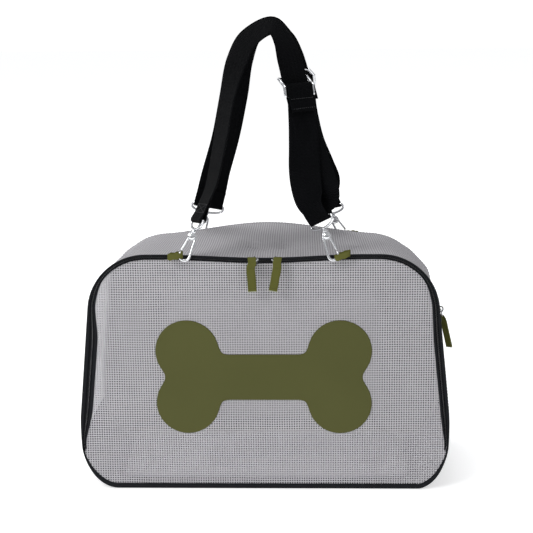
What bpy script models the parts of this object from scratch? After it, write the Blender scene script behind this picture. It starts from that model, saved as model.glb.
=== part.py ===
"""Soft-sided pet carrier bag with two clip-on shoulder straps.

Frame: +X to the right of the front, -Y out of the front, +Z up.  The origin is
on the floor, under the middle of the base.  Metres throughout.
"""
import bpy
import bmesh
import math
from mathutils import Vector, Matrix

# ------------------------------------------------------------------ dimensions
H = 0.300                 # height of the body
DEPTH = 0.200             # depth of the body, front face to back face
YF, YB = -DEPTH / 2, DEPTH / 2
W_FOOT = 0.2275           # half width at the foot, before the corners are rounded
TAPER = 0.0630            # half width lost per metre of height
SWELL, SWELL_Z = 0.0070, 0.095    # how far the sides stand out of that taper, and where
R_TOP, R_FOOT = 0.070, 0.0525
DROOP = 0.0045            # sag of the top edge at its middle
BULGE = 0.003             # how far the sides belly out at mid depth
REAR_DROP = 0.0160        # how much lower the rear shoulders are than the front ones
REAR_NARROW = 0.045       # by what part the rear shoulders are narrower than the front ones
SQUARE_RIGHT, SQUARE_LEFT = 0.0050, 0.0034    # how far the foot's corners stand out of an arc
FABRIC = 0.0018           # mesh and cloth thickness
GAP = 0.0003

RIM_W, ZIP_W, BIND_W = 0.0032, 0.0030, 0.0018
OFF_ZIP = RIM_W + GAP
OFF_BIND = OFF_ZIP + ZIP_W + GAP
OFF_PANEL = OFF_BIND + BIND_W + GAP
FOLD_Z = 0.0500           # fold line of the front door, between the zip's ends
FOLD_Y = YF - 0.0003

WEB_W, WEB_T = 0.038, 0.0016      # strap webbing
PULL_W, PULL_T, PULL_L = 0.0105, 0.0024, 0.0410
SIDE_ZIP_Z = 0.2110
SWING_Z_FRONT, SWING_Y_FRONT = 0.2965, -0.1070
SWING_Z_REAR, SWING_Y_REAR = 0.2770, 0.1125
REAR_RISE = 0.0065        # extra length of the rear strap above its lower loops

X = Vector((1, 0, 0))
Y = Vector((0, 1, 0))
Z = Vector((0, 0, 1))

for ob in list(bpy.data.objects):
    bpy.data.objects.remove(ob, do_unlink=True)
COLL = bpy.context.scene.collection


# ------------------------------------------------------------------- materials
def material(name, rgb, rough, metal=0.0, alpha=1.0):
    m = bpy.data.materials.new(name)
    m.use_nodes = True
    b = m.node_tree.nodes["Principled BSDF"]
    b.inputs["Base Color"].default_value = (*rgb, 1.0)
    b.inputs["Roughness"].default_value = rough
    b.inputs["Metallic"].default_value = metal
    m.diffuse_color = (*rgb, 1.0)
    return m


GREY = material("grey_mesh", (0.36, 0.355, 0.37), 0.75)
BLACK = material("black_fabric", (0.017, 0.018, 0.021), 0.7)
WEBBING = material("black_webbing", (0.012, 0.012, 0.014), 0.6)
OLIVE = material("olive_webbing", (0.088, 0.092, 0.027), 0.75)
PATCH = material("olive_patch", (0.084, 0.087, 0.031), 0.6)
CHROME = material("bright_metal", (0.72, 0.73, 0.75), 0.18, 1.0)
DARK = material("black_metal", (0.03, 0.03, 0.033), 0.35, 1.0)
LINING = material("light_grey_lining", (0.52, 0.52, 0.54), 0.8)
BOARD = material("board", (0.10, 0.10, 0.105), 0.6)


# --------------------------------------------------------------------- helpers
def empty(name, at, parent=None):
    e = bpy.data.objects.new(name, None)
    e.empty_display_size = 0.01
    COLL.objects.link(e)
    e.location = at
    if parent is not None:
        e.parent = parent
        e.matrix_parent_inverse = parent_inverse(parent)
    return e


def parent_inverse(p):
    m = Matrix.Identity(4)
    while p is not None:
        m = p.matrix_basis @ m if p.parent is None else p.matrix_parent_inverse @ p.matrix_basis @ m
        p = p.parent
    return m.inverted()


def add(name, verts, faces, mat, at=(0, 0, 0), parent=None, smooth=None):
    """A mesh given in world coordinates, with its origin at `at`."""
    at = Vector(at)
    me = bpy.data.meshes.new(name)
    me.from_pydata([tuple(Vector(v) - at) for v in verts], [], faces)
    bm = bmesh.new()
    bm.from_mesh(me)
    bmesh.ops.recalc_face_normals(bm, faces=bm.faces)
    bm.to_mesh(me)
    bm.free()
    me.materials.append(mat)
    if smooth:
        me.shade_smooth()
        me.set_sharp_from_angle(angle=math.radians(smooth))
    ob = bpy.data.objects.new(name, me)
    COLL.objects.link(ob)
    ob.location = at
    if parent is not None:
        ob.parent = parent
        ob.matrix_parent_inverse = parent_inverse(parent)
    return ob


def union(parts):
    """One closed body from (verts, faces) solids that overlap: their vertices and faces."""
    obs = []
    for i, (v, f) in enumerate(parts):
        # the solids are built in millimetres here, which keeps the cut exact
        ob = add("tmp_%d" % i, [tuple(c * 1000.0 for c in p) for p in v], f, CHROME)
        obs.append(ob)
    for other in obs[1:]:
        mod = obs[0].modifiers.new("join", "BOOLEAN")
        mod.operation = "UNION"
        mod.solver = "EXACT"
        mod.object = other
    dg = bpy.context.evaluated_depsgraph_get()
    dg.update()
    me = bpy.data.meshes.new_from_object(obs[0].evaluated_get(dg))
    bm = bmesh.new()
    bm.from_mesh(me)
    bmesh.ops.remove_doubles(bm, verts=bm.verts, dist=0.001)
    bmesh.ops.triangulate(bm, faces=bm.faces)
    verts = [tuple(c / 1000.0 for c in v.co) for v in bm.verts]
    bm.verts.index_update()
    faces = [[v.index for v in fa.verts] for fa in bm.faces]
    bm.free()
    for ob in obs:
        bpy.data.objects.remove(ob, do_unlink=True)
    return verts, faces


def moved(solid, origin, ax, ay, az):
    """A solid given in local axes, carried to the frame (ax, ay, az) at origin."""
    v, f = solid
    return [tuple(origin + ax * p[0] + ay * p[1] + az * p[2]) for p in v], f


def fillet(pts, radii, seg):
    """Rounds the corners of a closed polygon of (x, z) points, counter-clockwise."""
    out = []
    n = len(pts)
    for i in range(n):
        p, r = Vector(pts[i]), radii[i]
        a = (Vector(pts[i - 1]) - p).normalized()
        b = (Vector(pts[(i + 1) % n]) - p).normalized()
        half = math.acos(max(-1, min(1, a.dot(b)))) / 2
        t = r / math.tan(half)
        c = p + (a + b).normalized() * (r / math.sin(half))
        s, e = p + a * t - c, p + b * t - c
        ang = math.atan2(s.x * e.y - s.y * e.x, s.dot(e))
        for k in range(seg + 1):
            q = ang * k / seg
            out.append((c.x + s.x * math.cos(q) - s.y * math.sin(q),
                        c.y + s.x * math.sin(q) + s.y * math.cos(q)))
    return out


SEG = 10


def smooth(t):
    t = max(0.0, min(1.0, t))
    return 3 * t * t - 2 * t ** 3


def swell(z):
    """How far the sides stand out of their straight taper at height z."""
    if z < SWELL_Z:
        return SWELL * smooth(z / SWELL_Z)
    return SWELL * max(0.0, (H - z) / (H - SWELL_Z))


def outline(off=0.0, bulge=0.0, rear=0.0):
    """The body's outline, inset by `off`: (x, z) points, counter-clockwise from the
    start of the bottom right corner.  The same number of points whatever the inset.
    rear runs from 0 at the front face, whose top edge sags, to 1 at the back, whose
    shoulders are lower."""
    w0 = W_FOOT - off
    w1 = W_FOOT - TAPER * H - off
    foot, top = off, H - off
    corners = fillet([(w0, foot), (w1, top), (-w1, top), (-w0, foot)],
                     [R_FOOT - off, R_TOP - off, R_TOP - off, R_FOOT - off], SEG)
    n = SEG + 1
    br, tr, tl, bl = corners[:n], corners[n:2 * n], corners[2 * n:3 * n], corners[3 * n:]
    pts = list(br)
    for k in range(1, 5):                       # right side
        q = k / 5
        pts.append((br[-1][0] + (tr[0][0] - br[-1][0]) * q, br[-1][1] + (tr[0][1] - br[-1][1]) * q))
    pts += tr
    for k in range(1, 12):                      # top edge, which sags in the middle
        q = k / 12
        pts.append((tr[-1][0] + (tl[0][0] - tr[-1][0]) * q, top))
    pts += tl
    for k in range(1, 5):                       # left side
        q = k / 5
        pts.append((tl[-1][0] + (bl[0][0] - tl[-1][0]) * q, tl[-1][1] + (bl[0][1] - tl[-1][1]) * q))
    pts += bl
    for k in range(1, 4):                       # bottom edge
        q = k / 4
        pts.append((bl[-1][0] + (br[0][0] - bl[-1][0]) * q, foot))
    out = []
    for x, z in pts:
        cx, cz = W_FOOT - R_FOOT, R_FOOT        # the foot's corners are a little squarer than an arc
        if z < cz and abs(x) > cx:
            a = math.atan2(cz - z, abs(x) - cx)
            push = (SQUARE_RIGHT if x > 0 else SQUARE_LEFT) * math.sin(a) ** 2 * math.sin(2 * a) / 0.65
            x, z = x + math.copysign(push * math.cos(a), x), max(off, z - push * math.sin(a))
        x += math.copysign(swell(z) * smooth((abs(x) - 0.14) / 0.04), x)
        g = 1.0 - ((z - 0.11) / 0.11) ** 2
        if g > 0 and abs(x) > 0.17:
            x += math.copysign(bulge * g, x)
        x *= 1.0 - REAR_NARROW * rear * smooth((z - 0.222) / 0.045)
        if z > H * 0.8:
            d = max(0.0, 1.0 - abs(x) / 0.125)
            z -= DROOP * (3 * d * d - 2 * d ** 3) * (1.0 - rear)
        if z > 0.235:
            d = min(1.0, abs(x) / 0.155)
            z -= REAR_DROP * rear * (3 * d * d - 2 * d ** 3) * min(1.0, (z - 0.235) / 0.05)
        out.append((x, z))
    return out


# stations along that outline
I_RIGHT = SEG                       # end of the bottom right corner, z about 0.05
I_TR = SEG + 5                      # start of the top right corner
I_TR_MID = I_TR + SEG // 2
I_TL = I_TR + SEG + 12
I_TL_MID = I_TL + SEG // 2
I_LEFT = I_TL + SEG + 5             # start of the bottom left corner
N_OUT = len(outline())


def run(poly, i0, i1, trim=GAP / 2):
    """Points i0..i1 of a closed outline, with both ends pulled in by `trim`."""
    n = len(poly)
    pts = [Vector(poly[k % n]) for k in range(i0, i1 + 1)]
    pts[0] = pts[0] + (pts[1] - pts[0]).normalized() * trim
    pts[-1] = pts[-1] + (pts[-2] - pts[-1]).normalized() * trim
    return pts


def wall(ys, outer, inner, closed=False):
    """A wall along Y: outer(y) and inner(y) give its (x, z) points at each station."""
    verts, faces = [], []
    n = len(outer(ys[0]))
    for y in ys:
        verts += [(p[0], y, p[1]) for p in outer(y)]
        verts += [(p[0], y, p[1]) for p in inner(y)]
    m = 2 * n
    last = n if closed else n - 1
    for j in range(len(ys) - 1):
        a, b = j * m, (j + 1) * m
        for k in range(last):
            q = (k + 1) % n
            faces.append([a + k, a + q, b + q, b + k])
            faces.append([a + n + q, a + n + k, b + n + k, b + n + q])
        if not closed:
            faces.append([a, b, b + n, a + n])
            faces.append([a + n - 1, a + 2 * n - 1, b + 2 * n - 1, b + n - 1])
    e = (len(ys) - 1) * m
    for k in range(last):
        q = (k + 1) % n
        faces.append([k, n + k, n + q, q])
        faces.append([e + k, e + q, e + n + q, e + n + k])
    return verts, faces


def slab(poly, y0, y1):
    """A flat solid with the (x, z) outline `poly` between y0 and y1."""
    n = len(poly)
    verts = [(p[0], y0, p[1]) for p in poly] + [(p[0], y1, p[1]) for p in poly]
    faces = [list(range(n)), list(range(2 * n - 1, n - 1, -1))]
    faces += [[k, n + k, n + (k + 1) % n, (k + 1) % n] for k in range(n)]
    return verts, faces


def block(c, half, ax=X, ay=Y, az=Z):
    c = Vector(c)
    v = [tuple(c + ax * (half[0] * i) + ay * (half[1] * j) + az * (half[2] * k))
         for i in (-1, 1) for j in (-1, 1) for k in (-1, 1)]
    f = [[0, 1, 3, 2], [4, 6, 7, 5], [0, 4, 5, 1], [2, 3, 7, 6], [0, 2, 6, 4], [1, 5, 7, 3]]
    return v, f


def tube(path, r, nrm, closed=False, sides=8):
    """Round bar along a flat path whose plane has the normal `nrm`."""
    nrm = Vector(nrm).normalized()
    path = [Vector(p) for p in path]
    n = len(path)
    verts, faces = [], []
    for i, p in enumerate(path):
        if closed:
            t1, t2 = (p - path[i - 1]).normalized(), (path[(i + 1) % n] - p).normalized()
        else:
            t1 = (p - path[max(i - 1, 0)]) if i else (path[1] - p)
            t2 = (path[min(i + 1, n - 1)] - p) if i < n - 1 else t1
            t1, t2 = t1.normalized(), t2.normalized()
        t = (t1 + t2).normalized()
        side = nrm.cross(t).normalized()
        mit = 1.0 / max(0.5, t.dot(t1))
        for k in range(sides):
            a = 2 * math.pi * (k + 0.5) / sides
            verts.append(tuple(p + side * (r * mit * math.cos(a)) + nrm * (r * math.sin(a))))
    for i in range(n if closed else n - 1):
        j = (i + 1) % n
        for k in range(sides):
            q = (k + 1) % sides
            faces.append([i * sides + k, i * sides + q, j * sides + q, j * sides + k])
    if not closed:
        faces.append([k for k in range(sides)][::-1])
        faces.append([(n - 1) * sides + k for k in range(sides)])
    return verts, faces


def lathe(profile, c, axis, ref, sides=16):
    """Turned solid: (r, h) points from the axis, outside, back to the axis."""
    axis = Vector(axis).normalized()
    ref = (Vector(ref) - axis * Vector(ref).dot(axis)).normalized()
    oth = axis.cross(ref)
    c = Vector(c)
    verts, faces, rings = [], [], []
    for r, h in profile:
        if r < 1e-9:
            rings.append([len(verts)])
            verts.append(tuple(c + axis * h))
        else:
            rings.append(list(range(len(verts), len(verts) + sides)))
            for k in range(sides):
                a = 2 * math.pi * k / sides
                verts.append(tuple(c + axis * h + ref * (r * math.cos(a)) + oth * (r * math.sin(a))))
    pairs = list(zip(rings, rings[1:]))
    if len(rings[0]) > 1:
        pairs.append((rings[-1], rings[0]))
    for a, b in pairs:
        for k in range(sides):
            q = (k + 1) % sides
            if len(a) == 1 and len(b) > 1:
                faces.append([a[0], b[q], b[k]])
            elif len(b) == 1 and len(a) > 1:
                faces.append([a[k], a[q], b[0]])
            elif len(a) > 1:
                faces.append([a[k], a[q], b[q], b[k]])
    return verts, faces


def spline(keys, sub):
    """Catmull-Rom through keys of (point, vector) with `sub` steps for each span."""
    out = []
    for i in range(len(keys) - 1):
        k0 = keys[max(i - 1, 0)]
        k1, k2 = keys[i], keys[i + 1]
        k3 = keys[min(i + 2, len(keys) - 1)]
        n = sub[i] if isinstance(sub, (list, tuple)) else sub
        for s in range(n):
            t = s / n
            res = []
            for a, b, c, d in zip(k0, k1, k2, k3):
                la, lb, lc = (1e-4 + (b - a).length) ** 0.5, (1e-4 + (c - b).length) ** 0.5, (1e-4 + (d - c).length) ** 0.5
                m1 = ((b - a) / la - (c - a) / (la + lb) + (c - b) / lb) * lb
                m2 = ((c - b) / lb - (d - b) / (lb + lc) + (d - c) / lc) * lb
                h = (2 * t ** 3 - 3 * t * t + 1, t ** 3 - 2 * t * t + t, -2 * t ** 3 + 3 * t * t, t ** 3 - t * t)
                res.append(b * h[0] + m1 * h[1] + c * h[2] + m2 * h[3])
            out.append(tuple(res))
    out.append(keys[-1])
    return out


def ribbon(stations, width, thick):
    """Flat webbing through stations of (point, width direction)."""
    verts, faces = [], []
    n = len(stations)
    for i, (p, w) in enumerate(stations):
        t = (stations[min(i + 1, n - 1)][0] - stations[max(i - 1, 0)][0]).normalized()
        w = (w - t * w.dot(t)).normalized()
        m = w.cross(t)
        for sx, sy in ((-1, -1), (1, -1), (1, 1), (-1, 1)):
            verts.append(tuple(p + w * (sx * width / 2) + m * (sy * thick / 2)))
    for i in range(n - 1):
        for k in range(4):
            q = (k + 1) % 4
            faces.append([i * 4 + k, i * 4 + q, (i + 1) * 4 + q, (i + 1) * 4 + k])
    faces.append([3, 2, 1, 0])
    faces.append([(n - 1) * 4 + k for k in range(4)])
    return verts, faces


# ------------------------------------------------------------------ bag, fixed
def belly(y):
    return BULGE * (1.0 - (y / (DEPTH / 2)) ** 2)


def section(off, y):
    """The body's outline at depth y."""
    return outline(off, belly(y), (y - YF) / DEPTH)


def shell(name, mat, i0, i1, y0, y1, off=0.0, thick=FABRIC, steps=5):
    ys = [y0 + (y1 - y0) * k / (steps - 1) for k in range(steps)]
    v, f = wall(ys, lambda y: run(section(off, y), i0, i1),
                lambda y: run(section(off + thick, y), i0, i1))
    return add(name, v, f, mat, smooth=50)


Y_RIM = YF + 0.0080           # back of the front rim
Y_STRIP = YF + 0.0230         # back of the black strip behind the rim
Y_BIND = YB - 0.0050          # front of the rear binding

v, f = wall([YF, Y_RIM], lambda y: outline(0.0), lambda y: outline(RIM_W), closed=True)
add("front_rim", v, f, BLACK, smooth=50)

v, f = wall([YF + 0.0005, YF + 0.0035],
            lambda y: run(outline(OFF_ZIP), I_RIGHT, I_LEFT),
            lambda y: run(outline(OFF_ZIP + ZIP_W), I_RIGHT, I_LEFT))
add("front_zip_coil", v, f, BLACK, smooth=50)

shell("rim_strip", BLACK, I_RIGHT, I_LEFT, Y_RIM + GAP, Y_STRIP, steps=2)
shell("top_gusset", GREY, I_TR_MID, I_TL_MID, Y_STRIP + GAP, Y_BIND - GAP, steps=5)
shell("left_gusset", GREY, I_TL_MID, I_LEFT, Y_STRIP + GAP, Y_BIND - GAP, steps=5)


def side_run(lo, hi):
    """Part of the right side between two heights, as (x, z) points."""
    def pick(poly):
        side = [Vector(p) for p in poly[I_RIGHT:I_TR_MID + 1]]
        def at(z):
            for a, b in zip(side, side[1:]):
                if a.y <= z <= b.y:
                    return a + (b - a) * ((z - a.y) / (b.y - a.y))
            return side[-1] if z > side[-1].y else side[0]
        inner = [p for p in side if lo + 0.002 < p.y < hi - 0.002]
        if hi > side[-1].y:
            q = run(poly, I_RIGHT, I_TR_MID)[-1]
            return [at(lo)] + [p for p in inner if p.y < q.y - 0.0005] + [q]
        if lo < side[0].y:
            q = run(poly, I_RIGHT, I_TR_MID)[0]
            return [q] + [p for p in inner if p.y > q.y + 0.0005] + [at(hi)]
        return [at(lo)] + inner + [at(hi)]
    return pick


def side_shell(name, mat, lo, hi, off=0.0, thick=FABRIC, y0=Y_STRIP + GAP, y1=Y_BIND - GAP):
    pick = side_run(lo, hi)
    ys = [y0 + (y1 - y0) * k / 4 for k in range(5)]
    v, f = wall(ys, lambda y: pick(section(off, y)), lambda y: [
        p + Vector((-thick, 0)) if p.y < H * 0.76 else p + Vector((-thick * 0.8, -thick * 0.6))
        for p in pick(section(off, y))])
    return add(name, v, f, mat, smooth=50)


side_shell("right_gusset_lower", GREY, 0.0, SIDE_ZIP_Z - 0.0035)
side_shell("right_gusset_upper", GREY, SIDE_ZIP_Z + 0.0035, 1.0)
side_shell("side_zip_coil", BLACK, SIDE_ZIP_Z - 0.0032, SIDE_ZIP_Z + 0.0032)

v, f = wall([YB - 0.0050, YB], lambda y: outline(0.0, 0.0, 1.0), lambda y: outline(0.0045, 0.0, 1.0), closed=True)
add("back_binding", v, f, GREY, smooth=50)
v, f = slab(outline(0.0045 + GAP, 0.0, 1.0), YB - 0.0030, YB - 0.0012)
add("back_panel", v, f, GREY)

POCKET = (-0.138, 0.148, 0.030, 0.200)      # x0, x1, z0, z1
px0, px1, pz0, pz1 = POCKET
v, f = slab(fillet([(px1, pz0), (px1, pz1), (px0, pz1), (px0, pz0)][::1], [0.012] * 4, 4),
            YB - 0.0009, YB + 0.0006)
add("back_pocket", v, f, LINING)

# black wrap round the foot of the bag, joined to the sides at the fold line's height
ys = [Y_RIM + GAP + (Y_BIND - Y_RIM - 2 * GAP) * k / 4 for k in range(5)]
v, f = wall(ys, lambda y: run(section(0.0, y), I_LEFT, I_RIGHT + N_OUT),
            lambda y: run(section(FABRIC, y), I_LEFT, I_RIGHT + N_OUT))
add("base_wrap", v, f, BLACK, smooth=50)

v, f = block((0, 0, 0.0037), (0.172, 0.0915, 0.0013))
add("base_board", v, f, BOARD)
mat_z0, mat_z1 = 0.0054, 0.0174
poly = fillet([(0.182, -0.086), (0.182, 0.086), (-0.182, 0.086), (-0.182, -0.086)], [0.02] * 4, 4)
n = len(poly)
v = [(p[0], p[1], mat_z0) for p in poly] + [(p[0], p[1], mat_z1) for p in poly]
f = [list(range(n)), list(range(2 * n - 1, n - 1, -1))] + [[k, n + k, n + (k + 1) % n, (k + 1) % n] for k in range(n)]
mat_axis = empty("mat_axis", (0, 0, mat_z0))
add("inner_mat", v, f, LINING, (0, 0, mat_z0), mat_axis)

# ------------------------------------------------------- front: fixed lower strip
low = [p for p in outline(OFF_ZIP) if p[1] < FOLD_Z - 0.002]
order = sorted(low, key=lambda p: math.atan2(p[1] - FOLD_Z, p[0]))     # left to right, underneath
edge = max(p[0] for p in low) + 0.0004
lower = [(-edge, FOLD_Z - GAP)] + order + [(edge, FOLD_Z - GAP)]
v, f = slab(lower, YF + 0.0005, YF + 0.0021)
add("front_lower_panel", v, f, GREY)

# ------------------------------------------------------------------- front door
door_axis = empty("door_axis", (0, FOLD_Y, FOLD_Z))


def above(poly, z, xz=None):
    """The part of an outline above height z, closed by a straight foot."""
    pts = [Vector(p) for p in poly]
    n = len(pts)
    i = next(k for k in range(n) if pts[k].y < z <= pts[(k + 1) % n].y and pts[k].x > 0)
    j = next(k for k in range(n) if pts[k].y >= z > pts[(k + 1) % n].y and pts[k].x < 0)
    a, b = pts[i], pts[i + 1]
    first = a + (b - a) * ((z - a.y) / (b.y - a.y))
    c, d = pts[j], pts[(j + 1) % n]
    lastp = c + (d - c) * ((z - c.y) / (d.y - c.y))
    return [first] + pts[i + 1:j + 1] + [lastp]


o = above(outline(OFF_BIND), FOLD_Z + GAP)
i_ = above(outline(OFF_BIND + BIND_W), FOLD_Z + GAP + BIND_W)
assert len(o) == len(i_)
v, f = wall([YF + 0.0003, YF + 0.0030], lambda y: o, lambda y: i_, closed=True)
add("door_binding", v, f, BLACK, (0, FOLD_Y, FOLD_Z), door_axis, smooth=50)
v, f = slab(above(outline(OFF_PANEL), FOLD_Z + 2 * GAP + BIND_W), YF + 0.0007, YF + 0.0023)
add("front_door_panel", v, f, GREY, (0, FOLD_Y, FOLD_Z), door_axis)

# bone shaped patch sewn on the door
BONE_X, BONE_Z = 0.000, 0.1460
LOBE_X, LOBE_Z, LOBE_R, SHAFT = 0.094, 0.0335, 0.0400, 0.0290


def bone():
    notch = math.sqrt(LOBE_R ** 2 - LOBE_Z ** 2)
    a0 = math.atan2(-LOBE_Z, notch)
    join = -math.sqrt(LOBE_R ** 2 - (LOBE_Z - SHAFT) ** 2)
    a1 = math.atan2(SHAFT - LOBE_Z, join)
    if a1 < 0:
        a1 += 2 * math.pi
    q = [(LOBE_X + LOBE_R * math.cos(a0 + (a1 - a0) * k / 16), LOBE_Z + LOBE_R * math.sin(a0 + (a1 - a0) * k / 16))
         for k in range(17)]
    full = q + [(-x, z) for x, z in reversed(q)]
    full += [(-x, -z) for x, z in q[1:]] + [(x, -z) for x, z in reversed(q[1:])]
    return [(x + BONE_X, z + BONE_Z) for x, z in full]


v, f = slab(bone(), YF - 0.0008, YF + 0.0004)
add("bone_patch", v, f, PATCH, (0, FOLD_Y, FOLD_Z), door_axis)


# --------------------------------------------------------- zip sliders and pulls
def zip_pull(tag, at, run_dir, out_dir, up_dir, lean, parent, shift=0.0, rise=0.0, side=None):
    """Slider plate with its bail, wire ring and webbing pull.  `at` is the point on the
    zip's face under the slider; run_dir is along the zip; rise lifts the bail.  A side
    pull (turn, tilt) hangs under its ring, turned on edge and tilted off the side."""
    at = Vector(at)
    plate = block(at + out_dir * 0.0014, (0.0046, 0.0011, 0.0042), run_dir, out_dir, up_dir)
    bail_path = [at + out_dir * a + up_dir * (b + (rise if a > 0.002 else (rise * 0.4))) for a, b in
                 ((0.0018, 0.0034), (0.0052, 0.0030), (0.0064, 0.0018), (0.0066, 0.0),
                  (0.0064, -0.0018), (0.0052, -0.0030), (0.0018, -0.0034))]
    v1, f1 = union([plate, tube(bail_path, 0.0008, run_dir, sides=6)])
    slide = empty(tag + "_slider_axis", at, parent)
    add(tag + "_slider", v1, f1, DARK, at, slide)
    hinge = at + out_dir * 0.0040 + up_dir * rise
    pull_axis = empty(tag + "_pull_axis", hinge, slide)
    reach = out_dir
    if side is not None:
        reach = (out_dir * math.sin(side[1]) - up_dir * math.cos(side[1])).normalized()
    c = hinge + reach * 0.0044
    m = 20
    rp = [c + run_dir * (0.0050 * math.sin(2 * math.pi * k / m)) - reach * (0.0044 * math.cos(2 * math.pi * k / m))
          for k in range(m)]
    v2, f2 = tube(rp, 0.0007, run_dir.cross(reach), closed=True, sides=6)
    add(tag + "_ring", v2, f2, CHROME, hinge, pull_axis, smooth=60)
    q = Matrix.Rotation(lean, 3, out_dir)
    dn = q @ (-up_dir)
    wd = q @ run_dir
    top = c + out_dir * (0.0044 + 0.0007 + GAP + PULL_T / 2) + up_dir * 0.0028 + run_dir * shift
    if side is not None:
        dn = reach
        wd = Matrix.Rotation(side[0], 3, dn) @ run_dir
        top = hinge + dn * (0.0088 + 0.0007 + GAP + 0.0005)
    th = dn.cross(wd)
    v3, f3 = block(top + dn * (PULL_L / 2), (PULL_W / 2, PULL_T / 2, PULL_L / 2), wd, th, dn)
    add(tag + "_pull", v3, f3, OLIVE, hinge, pull_axis)


top_mid = H - DROOP - OFF_ZIP - ZIP_W * 0.5
OUT_F = -Y
zip_pull("zip_left", (-0.0095, YF, top_mid + 0.0018), X, OUT_F, Z, math.radians(3), door_axis, shift=-0.0045, rise=0.0036)
zip_pull("zip_right", (0.0165, YF, top_mid + 0.0018), X, OUT_F, Z, math.radians(-10), door_axis, shift=0.0035, rise=0.0036)

side_x = W_FOOT - TAPER * SIDE_ZIP_Z + swell(SIDE_ZIP_Z) + 0.0005
zip_pull("side_zip", (side_x + 0.0004, -0.0200, SIDE_ZIP_Z), -Y, X, Z, 0.0, None,
         side=(math.radians(-40), math.radians(13)))


# ---------------------------------------------------------------- straps, hooks
class Lean:
    """Leaning plane of a strap: x along X, s up the slope, `out` away from the bag."""
    def __init__(self, origin, apex):
        self.o = Vector(origin)
        self.u = (Vector(apex) - self.o).normalized()
        self.out = X.cross(self.u)
        if self.out.y * self.o.y < 0:
            self.out = -self.out

    def at(self, x, s, m=0.0):
        return self.o + X * x + self.u * s + self.out * m


FRONT = Lean((0, SWING_Y_FRONT, 0.2950), (0, -0.0175, 0.5730))
REAR = Lean((0, SWING_Y_REAR, 0.2755), (0, 0.0175, 0.5730))

WIRE, TIP = 0.0015, 0.00115
A_RIVET, A_EYE, A_BAR = 0.0310, 0.0408, 0.0525      # along the hook from its foot
LX, LY, LZ = Vector((1, 0, 0)), Vector((0, 1, 0)), Vector((0, 0, 1))   # across, out, along


def hook_solids(g):
    """Body, gate, rivet in local axes (across, out, along); g is the gate's side."""
    h = -g
    R = 0.0060
    path = [(h * 0.0049, 0, 0.0281), (h * 0.0054, 0, 0.0180), (h * R, 0, 0.0100), (h * R, 0, R)]
    for k in range(1, 9):
        a = math.pi * k / 8
        path.append((h * R * math.cos(a), 0, R - R * math.sin(a)))
    path.append((-h * R, 0, 0.0088))
    leg = tube(path, WIRE, LY)
    lug = lathe([(0.0019, -0.0026), (0.0054, -0.0026), (0.0054, -0.0002), (0.0019, -0.0002)],
                (0, 0, A_RIVET), LY, LX, 18)
    cup = lathe([(0, 0.0354), (0.0034, 0.0354), (0.0034, 0.0386), (0.0017, 0.0386), (0.0017, 0.0366), (0, 0.0366)],
                (0, 0, 0), LZ, LX, 14)
    body = union([lug, leg, cup])
    knuckle = lathe([(0.0019, 0.0001), (0.0042, 0.0001), (0.0042, 0.0025), (0.0019, 0.0025)],
                    (0, 0, A_RIVET), LY, LX, 18)
    arm = tube([(g * 0.0030, 0.0013, 0.0285), (g * 0.0060, 0.0013, 0.0112)], TIP, LY)
    gate = union([knuckle, arm])
    rivet = lathe([(0, -0.0038), (0.0036, -0.0038), (0.0040, -0.0034), (0.0040, -0.0029), (0.0016, -0.0029),
                   (0.0016, 0.0028), (0.0040, 0.0028), (0.0040, 0.0033), (0.0036, 0.0037), (0, 0.0037)],
                  (0, 0, A_RIVET), LY, LX, 16)
    return body, gate, rivet


def eye_solid():
    """D shaped eye with its swivel post, local axes (across the webbing, thickness, along)."""
    path = []
    for k in range(5):
        a = math.pi / 2 * k / 4
        path.append((0.0184 + 0.0026 * math.sin(a), 0, A_BAR - 0.0026 + 0.0026 * math.cos(a)))
    for k in range(1, 18):
        a = math.pi * k / 18
        path.append((0.0210 * math.cos(a), 0, 0.0480 - (0.0480 - A_EYE) * math.sin(a)))
    for k in range(5):
        a = math.pi / 2 * (4 - k) / 4
        path.append((-0.0184 - 0.0026 * math.sin(a), 0, A_BAR - 0.0026 + 0.0026 * math.cos(a)))
    ring = tube(path, 0.0016, LY, closed=True)
    post = lathe([(0, 0.0369), (0.0013, 0.0369), (0.0013, A_EYE), (0, A_EYE)], (0, 0, 0), LZ, LX, 10)
    return union([ring, post])


HOOKS = {1: hook_solids(1), -1: hook_solids(-1)}
EYE = eye_solid()


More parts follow.
